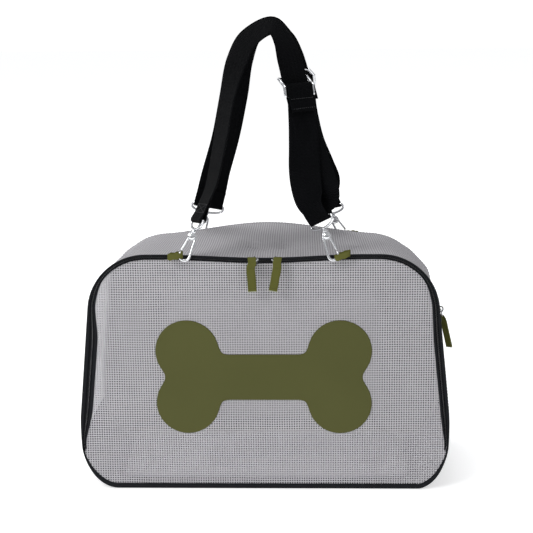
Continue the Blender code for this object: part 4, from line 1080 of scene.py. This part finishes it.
def side_sheet(i0, i1, rows=32):
    """The wall's mesh as one sheet, reaching forward to the rim along the top."""
    base = run(outline(0.0), i0, i1)
    n = len(base)
    y_end = Y_BIND - GAP * 0.3
    mid = run(section(0.0005, (Y_STRIP + Y_BIND) / 2), i0, i1)
    arc = [0.0]
    for a, b in zip(mid, mid[1:]):
        arc.append(arc[-1] + math.hypot(b[0] - a[0], b[1] - a[1]))
    P, U = [], []
    for k in range(n):
        y0 = depth_at(base[k][1])[1] + GAP * 0.3
        row, uu = [], []
        for j in range(rows + 1):
            y = y0 + (y_end - y0) * j / rows
            x, z = station(0.0005, y, i0 + k)
            a, b = station(0.0005, y, i0 + max(k - 1, 0)), station(0.0005, y, i0 + min(k + 1, n - 1))
            t = Vector((b[0] - a[0], b[1] - a[1])).normalized()
            d = gusset_drop(x, y, z)
            row.append((x - t.y * d, y, z + t.x * d))
            uu.append((arc[k], y))
        P.append(row)
        U.append(uu)
    return grid(P, uv=lambda i, j: U[min(i, n - 1)][j]), arc[-1], y_end - depth_at(H)[1]


(v, f, u), run_len, depth_len = side_sheet(I_RIGHT, I_LEFT)
walls = piece("walls_mesh", v, f, MESH_WALL, "bag", "grey_mesh", uvs=u,
              replaces=("top_gusset", "left_gusset", "right_gusset_lower", "right_gusset_upper"), smooth=180)


def seam(y, off, r, i0, i1, name, mat):
    """A line of stitches round the body at depth y."""
    line = run(section(off, y), i0, i1)
    b = Bag()
    acc, nxt, start = 0.0, 0.0, None
    pts = [Vector((p[0], y, p[1])) for p in line]
    L, gap = 0.0030, 0.0012
    seg = [0.0]
    for a, c in zip(pts, pts[1:]):
        seg.append(seg[-1] + (c - a).length)

    def at(s):
        for k in range(len(seg) - 1):
            if seg[k + 1] >= s:
                q = (s - seg[k]) / max(1e-9, seg[k + 1] - seg[k])
                return pts[k].lerp(pts[k + 1], q)
        return pts[-1]
    s, k = 0.001, 0
    while s + L < seg[-1]:
        while k < len(seg) - 2 and seg[k + 1] < s:
            k += 1
        a = pts[k].lerp(pts[k + 1], (s - seg[k]) / max(1e-9, seg[k + 1] - seg[k]))
        e = s + L
        m = k
        while m < len(seg) - 2 and seg[m + 1] < e:
            m += 1
        c = pts[m].lerp(pts[m + 1], (e - seg[m]) / max(1e-9, seg[m + 1] - seg[m]))
        b.add(*capsule(a, c, r, 6, 2))
        s += L + gap
    return b.make(name, mat, "bag", "black_fabric")


seam(Y_STRIP - 0.0022, -0.00005, 0.00028, I_RIGHT, I_TR, "rim_strip_stitching_right", THREAD)
seam(Y_STRIP - 0.0022, -0.00005, 0.00028, I_TL + SEG, I_LEFT, "rim_strip_stitching_left", THREAD)
seam(Y_BIND + 0.0024, -0.0002, 0.00026, 0, N_OUT - 1, "back_binding_stitching", THREAD_GREY)


# front mesh, one sheet from the rim's foot to the door's binding
def panel_y(x, z):
    """Depth of the front cloth: a slight belly with soft, slow waves."""
    e = max(0.0, 1.0 - (abs(x) / 0.208) ** 3.0) * max(0.0, 1.0 - (abs(z - 0.150) / 0.146) ** 3.0)
    b = 0.0022 * e
    b += e * (0.00085 * wobble(x, 0, z, 0.075, 4.0) + 0.00035 * wobble(x, 0, z, 0.030, 8.0))
    fold = math.exp(-((z - 0.032) / 0.018) ** 2) * math.exp(-((abs(x) - 0.165) / 0.05) ** 2)
    b += 0.0009 * fold * math.sin(x * 160.0)
    return YF + 0.0014 - b


lo_l, hi_l = front_line(0.0034), front_line(0.0083)
edge = []
for a, b in zip(lo_l, hi_l):
    q = smooth01((a[1] - 0.0465) / 0.0070)
    edge.append((a[0] + (b[0] - a[0]) * q, a[1] + (b[1] - a[1]) * q))
pts, tris = fill([edge], 0.0046)
v = [(p[0], panel_y(p[0], p[1]), p[1]) for p in pts]
front = piece("front_mesh", v, tris, MESH, None, "grey_mesh", uvs=[tuple(pts[i] for i in t) for t in tris],
              replaces=("front_door_panel", "front_lower_panel"), smooth=180)
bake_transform(front)
for t in tris:
    a, b, c = (Vector(pts[i]) for i in t)


# door binding: open at the fold, where the mesh itself turns
def open_above(off, z0):
    pts = outline(off)
    n = len(pts)
    keep = [k for k in range(n) if pts[k][1] > z0]
    first = next(k for k in keep if pts[k - 1][1] <= z0 and pts[k][0] > 0)
    out, k = [], first
    while pts[k % n][1] > z0:
        out.append(pts[k % n])
        k += 1
    return out, first


def door_band(cs, z0):
    base, first = open_above(0.0075, z0)
    m = len(base)
    lines = []
    for off, y in cs:
        p = front_line(off)
        lines.append([p[(first + k) % len(p)] for k in range(m)])
    P = [[(lines[j][k][0], cs[j][1], lines[j][k][1]) for j in range(len(cs))] for k in range(m)]
    return grid(P, loop_j=True, caps=True)


v, f, u = door_band(rounded(OFF_BIND, OFF_BIND + BIND_W + 0.0004, YF - 0.0001, YF + 0.0030, 0.0009), FOLD_Z + 0.0015)
piece("door_binding_piece", v, f, BLACK, "front_door", "black_fabric", uvs=u, replaces=("door_binding",))

# zip: tape and two rows of teeth
v, f, u = band(rounded(OFF_ZIP - 0.0003, OFF_ZIP + ZIP_W * 0.52, YF + 0.0016, YF + 0.0028, 0.0004), I_RIGHT, I_LEFT, fn=front_line)
tape = piece("zip_tape_outer", v, f, TAPE, "bag", "black_fabric", uvs=u, replaces=("front_zip_coil",))


def teeth(path, inn, out, pitch, r, reach, name, body):
    """Interlocked coil teeth along a path, in two rows."""
    seg = [0.0]
    for a, c in zip(path, path[1:]):
        seg.append(seg[-1] + (c - a).length)
    b = Bag()
    s, k, side = pitch, 0, 1
    while s < seg[-1] - pitch:
        while k < len(seg) - 2 and seg[k + 1] < s:
            k += 1
        q = (s - seg[k]) / max(1e-9, seg[k + 1] - seg[k])
        p = path[k].lerp(path[k + 1], q)
        n_ = inn[k].lerp(inn[k + 1], q).normalized()
        o_ = out[k].lerp(out[k + 1], q).normalized()
        b.add(*tube(rail([p - n_ * (side * reach) - o_ * 0.0003, p - n_ * (side * reach * 0.3) + o_ * 0.00025, p + n_ * (side * reach * 0.55) + o_ * 0.0001], 2),
                    [r * 0.8, r, r, r, r * 0.7], sides=6))
        s += pitch
        side = -side
    return b.make(name, TEETH, body, "black_fabric", smooth=80)


line = [Vector((p[0], YF + 0.0012, p[1])) for p in run(front_line(OFF_ZIP + ZIP_W * 0.5), I_RIGHT, I_LEFT)]
inn = []
for k in range(len(line)):
    t = (line[min(k + 1, len(line) - 1)] - line[max(k - 1, 0)]).normalized()
    inn.append(Vector((-t.z, 0, t.x)))
teeth(line, inn, [-Y] * len(line), 0.00135, 0.00046, 0.00100, "zip_teeth", "bag")
# the door's half of the tape
v, f, u = door_band(rounded(OFF_ZIP + ZIP_W * 0.60, OFF_BIND + 0.0003, YF + 0.0016, YF + 0.0028, 0.0004), FOLD_Z + 0.0015)
piece("zip_tape_inner", v, f, TAPE, "front_door", "black_fabric", uvs=u)

# side zip, straight across the right wall
ys = [Y_STRIP + GAP + (Y_BIND - Y_STRIP - 2 * GAP) * k / 24 for k in range(25)]


def right_x(y, z):
    x = W_FOOT - TAPER * z + swell(z)
    g = 1.0 - ((z - 0.11) / 0.11) ** 2
    if g > 0:
        x += belly(y) * g
    return x


P = []
hw_ = 0.0046
for y in ys:
    row = []
    for a, o in ((-hw_, 0.0), (-hw_, 0.0006), (-hw_ * 0.4, 0.0010), (0, 0.0010), (hw_ * 0.4, 0.0010), (hw_, 0.0006), (hw_, 0.0), (hw_ * 0.4, -0.0001), (-hw_ * 0.4, -0.0001)):
        row.append((right_x(y, SIDE_ZIP_Z + a) + o - 0.0004, y, SIDE_ZIP_Z + a))
    P.append(row)
v, f, u = grid(P, loop_j=True, caps=True)
piece("side_zip_tape", v, f, TAPE, "bag", "black_fabric", uvs=u, replaces=("side_zip_coil",))
line = [Vector((right_x(y, SIDE_ZIP_Z) + 0.0010, y, SIDE_ZIP_Z)) for y in ys]
teeth(line, [Z.copy()] * len(line), [X.copy()] * len(line), 0.00135, 0.00048, 0.00125, "side_zip_teeth", "bag")

# back panel and pocket
loop = [p for p in outline(0.0043, 0.0, 1.0)]
pts, tris = fill([loop], 0.0060)


def back_y(x, z):
    e = max(0.0, 1.0 - (abs(x) / 0.210) ** 3) * max(0.0, 1.0 - (abs(z - 0.148) / 0.146) ** 3)
    return YB - 0.0022 + e * (0.0004 * wobble(x, 0, z, 0.07, 14.0) - 0.0004)


back = piece("back_mesh", [(p[0], back_y(*p), p[1]) for p in pts], tris, MESH_BACK, "bag", "grey_mesh",
             uvs=[tuple(pts[i] for i in t) for t in tris], replaces=("back_panel",), smooth=180)
area_b = sum(abs((Vector(pts[t[1]]) - Vector(pts[t[0]])).cross(Vector(pts[t[2]]) - Vector(pts[t[0]]))) / 2 for t in tris)

px0, px1, pz0, pz1 = -0.138, 0.148, 0.030, 0.200
ploop = fillet([(px1, pz0), (px1, pz1), (px0, pz1), (px0, pz0)], [0.012] * 4, 8)
dense = []
for k in range(len(ploop)):
    a, b = ploop[k], ploop[(k + 1) % len(ploop)]
    m = max(1, int(math.hypot(b[0] - a[0], b[1] - a[1]) / 0.006))
    dense += [(a[0] + (b[0] - a[0]) * q / m, a[1] + (b[1] - a[1]) * q / m) for q in range(m)]
pts, tris = fill([dense], 0.0065)


def pocket_y(x, z):
    e = max(0.0, 1.0 - (abs(x - 0.005) / 0.143) ** 4) * max(0.0, 1.0 - (abs(z - 0.115) / 0.085) ** 4)
    return YB - 0.0006 + e * (0.0016 + 0.0006 * wobble(x, 0, z, 0.05, 21.0))


pocket = piece("back_pocket_mesh", [(p[0], pocket_y(*p), p[1]) for p in pts], tris, POCKET, "bag", "lining",
               uvs=[tuple(pts[i] for i in t) for t in tris], replaces=("back_pocket",), smooth=180)
area_p = sum(abs((Vector(pts[t[1]]) - Vector(pts[t[0]])).cross(Vector(pts[t[2]]) - Vector(pts[t[0]]))) / 2 for t in tris)
n_ = len(ploop)
tape_v, tape_f, tape_u = tube([(p[0], YB + 0.0001, p[1]) for p in dense], 0.0013, Y, closed=True, sides=10)
ptape = piece("back_pocket_binding", tape_v, tape_f, SEAM, "bag", "lining", uvs=tape_u)


# ------------------------------------------------------------------ bone patch
def bone(inset=0.0, m=28):
    LXx, LZz, R, S = 0.094, 0.0335, 0.0400 - inset, 0.0290 - inset
    notch = math.sqrt(R ** 2 - LZz ** 2)
    a0 = math.atan2(-LZz, notch)
    a1 = math.atan2(S - LZz, -math.sqrt(R ** 2 - (LZz - S) ** 2))
    if a1 < 0:
        a1 += 2 * math.pi
    q = [(LXx + R * math.cos(a0 + (a1 - a0) * k / m), LZz + R * math.sin(a0 + (a1 - a0) * k / m)) for k in range(m + 1)]
    j = q[-1]
    q += [(j[0] * (1 - k / 14), j[1]) for k in range(1, 14)]
    full = q + [(-x, z) for x, z in reversed(q)]
    full += [(-x, -z) for x, z in q[1:]] + [(x, -z) for x, z in reversed(q[1:])]
    # ease the inner corners where lobe, shaft and notch meet
    out = []
    for k in range(len(full)):
        a, b, c = Vector(full[k - 1]), Vector(full[k]), Vector(full[(k + 1) % len(full)])
        out.append(b)
    for _ in range(5):
        out = [(out[k - 1] + out[k] * 2 + out[(k + 1) % len(out)]) / 4 if
               (out[k] - (out[k - 1] + out[(k + 1) % len(out)]) / 2).length > 0.00035 else out[k] for k in range(len(out))]
    return [(p.x, p.y + 0.1460) for p in out]


T_PATCH = 0.0010
rings = [(0.0, 0.0), (0.0, 0.55), (0.00025, 0.85), (0.0007, 1.0), (0.0016, 1.0)]
loops = [bone(r[0]) for r in rings]
nb = len(loops[0])
cut = Bag()
P = [[(l[k][0], panel_y(*l[k]) - 0.0001 - T_PATCH * h, l[k][1]) for k in range(nb)] for l, (_, h) in zip(loops, rings)]
v, f, u = grid(P, loop_j=True)
pts, tris = fill([loops[-1]], 0.0042)
verts = list(v)
n0 = len(verts)
key = {}
for k in range(nb):
    key[(round(loops[-1][k][0], 6), round(loops[-1][k][1], 6))] = (len(rings) - 1) * nb + k
index = []
for p in pts:
    q = (round(p[0], 6), round(p[1], 6))
    if q in key:
        index.append(key[q])
    else:
        index.append(len(verts))
        verts.append((p[0], panel_y(*p) - 0.0001 - T_PATCH, p[1]))
faces = list(f) + [tuple(index[i] for i in t) for t in tris]
bpts, btris = fill([loops[0]], 0.0080)
bidx = []
bkey = {(round(loops[0][k][0], 6), round(loops[0][k][1], 6)): k for k in range(nb)}
for p in bpts:
    q = (round(p[0], 6), round(p[1], 6))
    if q in bkey:
        bidx.append(bkey[q])
    else:
        bidx.append(len(verts))
        verts.append((p[0], panel_y(*p) - 0.0001, p[1]))
faces += [tuple(bidx[i] for i in t) for t in btris]
uvs = [tuple((verts[i][0], verts[i][2]) for i in q) for q in faces]
piece("bone_patch_piece", verts, faces, PATCH, "front_door", "olive_patch", uvs=uvs, replaces=("bone_patch",), smooth=60)


# ----------------------------------------------------------- sliders and pulls
def zip_pull(tag, at, run_dir, out_dir, up_dir, lean, shift=0.0, rise=0.0, side=None):
    at = Vector(at)
    b = Bag()

    def plate(c, hx, hz, ht, taper):
        """Slider plate: a shield shape with eased edges, from its middle c."""
        ol = fillet([(hx, -hz * 0.9), (hx * taper, hz), (-hx * taper, hz), (-hx, -hz * 0.9)], [hz * 0.35] * 4, 5)
        rows = []
        for sc, h in ((0.80, -ht), (0.96, -ht * 0.9), (1.0, -ht * 0.4), (1.0, ht * 0.4), (0.96, ht * 0.9), (0.80, ht)):
            rows.append([c + run_dir * (p[0] * sc) + up_dir * (p[1] * sc) + out_dir * h for p in ol])
        return grid(rows, loop_j=True, caps=True)
    b.add(*plate(at + out_dir * 0.0014, 0.0046, 0.0042, 0.0011, 0.72))
    path = [at + out_dir * a + up_dir * (h + (rise if a > 0.002 else (rise * 0.4))) for a, h in
            ((0.0018, 0.0034), (0.0052, 0.0030), (0.0064, 0.0018), (0.0066, 0.0), (0.0064, -0.0018), (0.0052, -0.0030), (0.0018, -0.0034))]
    b.add(*tube(rail(path, 4), 0.0008, run_dir, sides=12))
    b.make(tag + "_slider_piece", ENAMEL, tag + "_slider", "black_metal", replaces=(tag + "_slider",), smooth=50)
    hinge = at + out_dir * 0.0040 + up_dir * rise
    reach = out_dir if side is None else (out_dir * math.sin(side[1]) - up_dir * math.cos(side[1])).normalized()
    c = hinge + reach * 0.0044
    m = 40
    rp = [c + run_dir * (0.0050 * math.sin(2 * math.pi * k / m)) - reach * (0.0044 * math.cos(2 * math.pi * k / m)) for k in range(m)]
    v, f, u = tube(rp, 0.0007, run_dir.cross(reach), closed=True, sides=12)
    piece(tag + "_ring_piece", v, f, CHROME, tag + "_pull", "bright_metal", uvs=u, replaces=(tag + "_ring",), smooth=80)
    q = Matrix.Rotation(lean, 3, out_dir)
    dn, wd = q @ (-up_dir), q @ run_dir
    top = c + out_dir * (0.0044 + 0.0007 + GAP + PULL_T / 2) + up_dir * 0.0028 + run_dir * shift
    wire = c + out_dir * 0.0044 + run_dir * (shift * 0.55)
    if side is not None:
        dn = reach
        wd = Matrix.Rotation(side[0], 3, dn) @ run_dir
        top = hinge + dn * 0.0103
        wire = hinge + dn * 0.0088
    th = dn.cross(wd)
    if th.dot(out_dir) < 0:
        th = -th
    end = top + dn * PULL_L
    lay = 0.00058
    keys = [(end - th * lay, wd), (top + dn * 0.026 - th * lay, wd), (top + dn * 0.011 - th * (lay + 0.0001), wd)]
    w_top = run_dir if side is None else (run_dir * 0.75 + wd * 0.25).normalized()
    if w_top.dot(wd) < 0:
        w_top = -w_top
    up_ = (-dn * 0.9 + up_dir * 0.1).normalized()
    nrm = th if side is None else out_dir
    crown = 0.0040 if side is None else 0.0014
    keys.append((wire + dn * 0.0030 - nrm * 0.0014, (w_top + wd).normalized()))
    for k in range(5):
        a = math.pi * k / 4
        keys.append((wire + up_ * (crown * math.sin(a)) - nrm * (0.00125 * math.cos(a)), w_top))
    keys.append((wire + dn * 0.0030 + nrm * 0.0016, (w_top + wd).normalized()))
    keys += [(top + dn * 0.011 + th * (lay + 0.0001), wd), (top + dn * 0.026 + th * lay, wd), (end + th * lay, wd)]
    st = spline(keys, [6, 6, 4, 3, 3, 3, 3, 3, 3, 4, 6, 6])
    widths = []
    for p, _ in st:
        near = (p - wire).length
        pin = 0.94 if side is None else 0.72
        widths.append(pin + (1 - pin) * smooth01((near - 0.0012) / 0.0100))
    v, f, u = ribbon(st, PULL_W, 0.0010, across=8, widths=widths)
    total = frames(st)[-1][3]
    k_ = 0.0850 / total                      # the material's cut ends are at 0 and 85 mm
    u = [tuple((a, b_ * k_) for a, b_ in q_) for q_ in u]
    pull = piece(tag + "_pull_piece", v, f, OLIVE, tag + "_pull", "olive_webbing", uvs=u, replaces=(tag + "_pull",), smooth=60)
    sew = Bag()
    for sgn in (1, -1):
        face_ = th * sgn
        o = lay + 0.0005
        for t0 in (0.0115, 0.0370):
            a = top + dn * t0 + face_ * o
            stitches(sew, a - wd * 0.0038, a + wd * 0.0038, face_, 0.0013, 0.0006, 0.0002)
        for s_ in (-0.0038, 0.0038):
            a = top + wd * s_ + face_ * o
            stitches(sew, a + dn * 0.0115, a + dn * 0.0370, face_, 0.0014, 0.0007, 0.0002)
    sp = sew.make(tag + "_pull_stitching", THREAD_OLIVE, tag + "_pull", "olive_webbing")


top_mid = H - DROOP - OFF_ZIP - ZIP_W * 0.5
zip_pull("zip_left", (-0.0095, YF, top_mid + 0.0018), X, -Y, Z, math.radians(3), shift=-0.0045, rise=0.0036)
zip_pull("zip_right", (0.0165, YF, top_mid + 0.0018), X, -Y, Z, math.radians(-10), shift=0.0035, rise=0.0036)
zip_pull("side_zip", (W_FOOT - TAPER * SIDE_ZIP_Z + swell(SIDE_ZIP_Z) + 0.0009, -0.0200, SIDE_ZIP_Z), -Y, X, Z, 0.0,
         side=(math.radians(-40), math.radians(13)))


# ------------------------------------------------------------------ inner mat
def mat_pad():
    """A thin quilted pad: crowned, with its sides drawn in between the corners."""
    lo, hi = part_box("inner_mat")
    hx, hy, t = (hi.x - lo.x) / 2 - 0.0004, (hi.y - lo.y) / 2 - 0.0004, hi.z - lo.z
    nx, ny = 92, 46
    top, bot = [], []

    def pt(i, j, up):
        a, b = -1 + 2 * i / nx, -1 + 2 * j / ny
        # corners rounded, sides slightly drawn in
        x, y = a * hx, b * hy
        cx = abs(a) ** 6 * abs(b) ** 6
        x *= 1 - 0.030 * cx - 0.010 * (abs(a) ** 8) * (1 - b * b)
        y *= 1 - 0.060 * cx - 0.018 * (abs(b) ** 8) * (1 - a * a)
        e = (1 - abs(a) ** 7) * (1 - abs(b) ** 5)
        crown = max(0.0, e) ** 0.42
        quilt = 0.5 + 0.5 * math.cos(2 * math.pi * (x / 0.060 + y / 0.060)) * math.cos(2 * math.pi * (x / 0.060 - y / 0.060) / 1.0)
        h = t / 2 * crown
        if up:
            return (x, y, lo.z + t / 2 + h * (0.86 + 0.14 * quilt) * 0.98)
        return (x, y, lo.z + t / 2 - h * 0.97)
    P = [[pt(i, j, True) for j in range(ny + 1)] for i in range(nx + 1)]
    Q = [[pt(i, j, False) for j in range(ny + 1)] for i in range(nx + 1)]
    v = [p for r in P for p in r]
    faces = []
    m = ny + 1
    idx = {}
    for i in range(nx + 1):
        for j in range(ny + 1):
            if i in (0, nx) or j in (0, ny):
                idx[(i, j)] = i * m + j
            else:
                idx[(i, j)] = len(v)
                v.append(Q[i][j])
    for i in range(nx):
        for j in range(ny):
            faces.append((i * m + j, (i + 1) * m + j, (i + 1) * m + j + 1, i * m + j + 1))
            faces.append((idx[(i, j)], idx[(i, j + 1)], idx[(i + 1, j + 1)], idx[(i + 1, j)]))
    uvs = [tuple((v[k][0], v[k][1]) for k in q) for q in faces]
    pad = piece("inner_mat_piece", v, faces, LINING, "mat", "lining", uvs=uvs, replaces=("inner_mat",), smooth=80)
    edge_ = [P[i][0] for i in range(nx)] + [P[nx][j] for j in range(ny)] + [P[i][ny] for i in range(nx, 0, -1)] + [P[0][j] for j in range(ny, 0, -1)]
    # the pad's edge piping
    v2, f2, u2 = tube([(p[0] * 0.999, p[1] * 0.999, p[2]) for p in edge_], 0.0014, Z, closed=True, sides=10)
    piece("inner_mat_piping", v2, f2, SEAM, "mat", "lining", uvs=u2)


mat_pad()
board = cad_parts["base_board"]
board.data.materials.clear()
board.data.materials.append(BOARD)

# ------------------------------------------------------------- floor and light
me = bpy.data.meshes.new("floor")
me.from_pydata([(-6, -6, -0.0006), (6, -6, -0.0006), (6, 6, -0.0006), (-6, 6, -0.0006)], [], [(0, 1, 2, 3)])
floor = bpy.data.objects.new("floor", me)
COLL.objects.link(floor)
fm = bpy.data.materials.new("floor")
fm.use_nodes = True
fb = fm.node_tree.nodes["Principled BSDF"]
fb.inputs["Base Color"].default_value = (0.88, 0.88, 0.88, 1)
fb.inputs["Roughness"].default_value = 0.8
fb.inputs["Specular IOR Level"].default_value = 0.1
fb.inputs["Emission Color"].default_value = (1, 1, 1, 1)
fb.inputs["Emission Strength"].default_value = 0.56
me.materials.append(fm)


def light(name, at, aim, size, power, col=(1, 1, 1)):
    d = bpy.data.lights.new(name, "AREA")
    d.shape = "RECTANGLE"
    d.size, d.size_y = size
    d.energy = power
    d.color = col
    o = bpy.data.objects.new(name, d)
    COLL.objects.link(o)
    o.location = at
    o.rotation_euler = (Vector(aim) - Vector(at)).to_track_quat("-Z", "Y").to_euler()
    o.visible_camera = False
    return o


light("key", (-1.15, -1.35, 1.55), (0, 0, 0.2), (0.9, 0.9), 19)
light("fill", (2.0, -1.4, 1.3), (0, 0, 0.2), (1.2, 1.6), 0.8)
light("top", (-0.3, 0.4, 2.6), (0, 0, 0.1), (1.2, 1.0), 16)
light("back_left", (-1.6, 1.6, 1.6), (0, 0, 0.2), (1.2, 1.2), 8)

w = bpy.data.worlds.new("studio")
SCENE.world = w
w.use_nodes = True
nt = w.node_tree
for n in list(nt.nodes):
    nt.nodes.remove(n)
out = nt.nodes.new("ShaderNodeOutputWorld")
mixn = nt.nodes.new("ShaderNodeMixShader")
lp = nt.nodes.new("ShaderNodeLightPath")
seen = nt.nodes.new("ShaderNodeBackground")
seen.inputs["Color"].default_value = (1, 1, 1, 1)
seen.inputs["Strength"].default_value = 1.05
amb = nt.nodes.new("ShaderNodeBackground")
tc = nt.nodes.new("ShaderNodeTexCoord")
sx = nt.nodes.new("ShaderNodeSeparateXYZ")
nt.links.new(tc.outputs["Generated"], sx.inputs[0])
rampn = nt.nodes.new("ShaderNodeMapRange")
rampn.interpolation_type = "SMOOTHSTEP"
for k, q in (("From Min", -0.15), ("From Max", 0.55), ("To Min", 0.18), ("To Max", 0.52)):
    rampn.inputs[k].default_value = q
nt.links.new(sx.outputs[2], rampn.inputs["Value"])
amb.inputs["Color"].default_value = (0.97, 0.98, 1.0, 1)
nt.links.new(rampn.outputs[0], amb.inputs["Strength"])
nt.links.new(lp.outputs["Is Camera Ray"], mixn.inputs[0])
nt.links.new(amb.outputs[0], mixn.inputs[1])
nt.links.new(seen.outputs[0], mixn.inputs[2])
nt.links.new(mixn.outputs[0], out.inputs[0])

SCENE.view_settings.view_transform = "Standard"
SCENE.view_settings.look = "None"
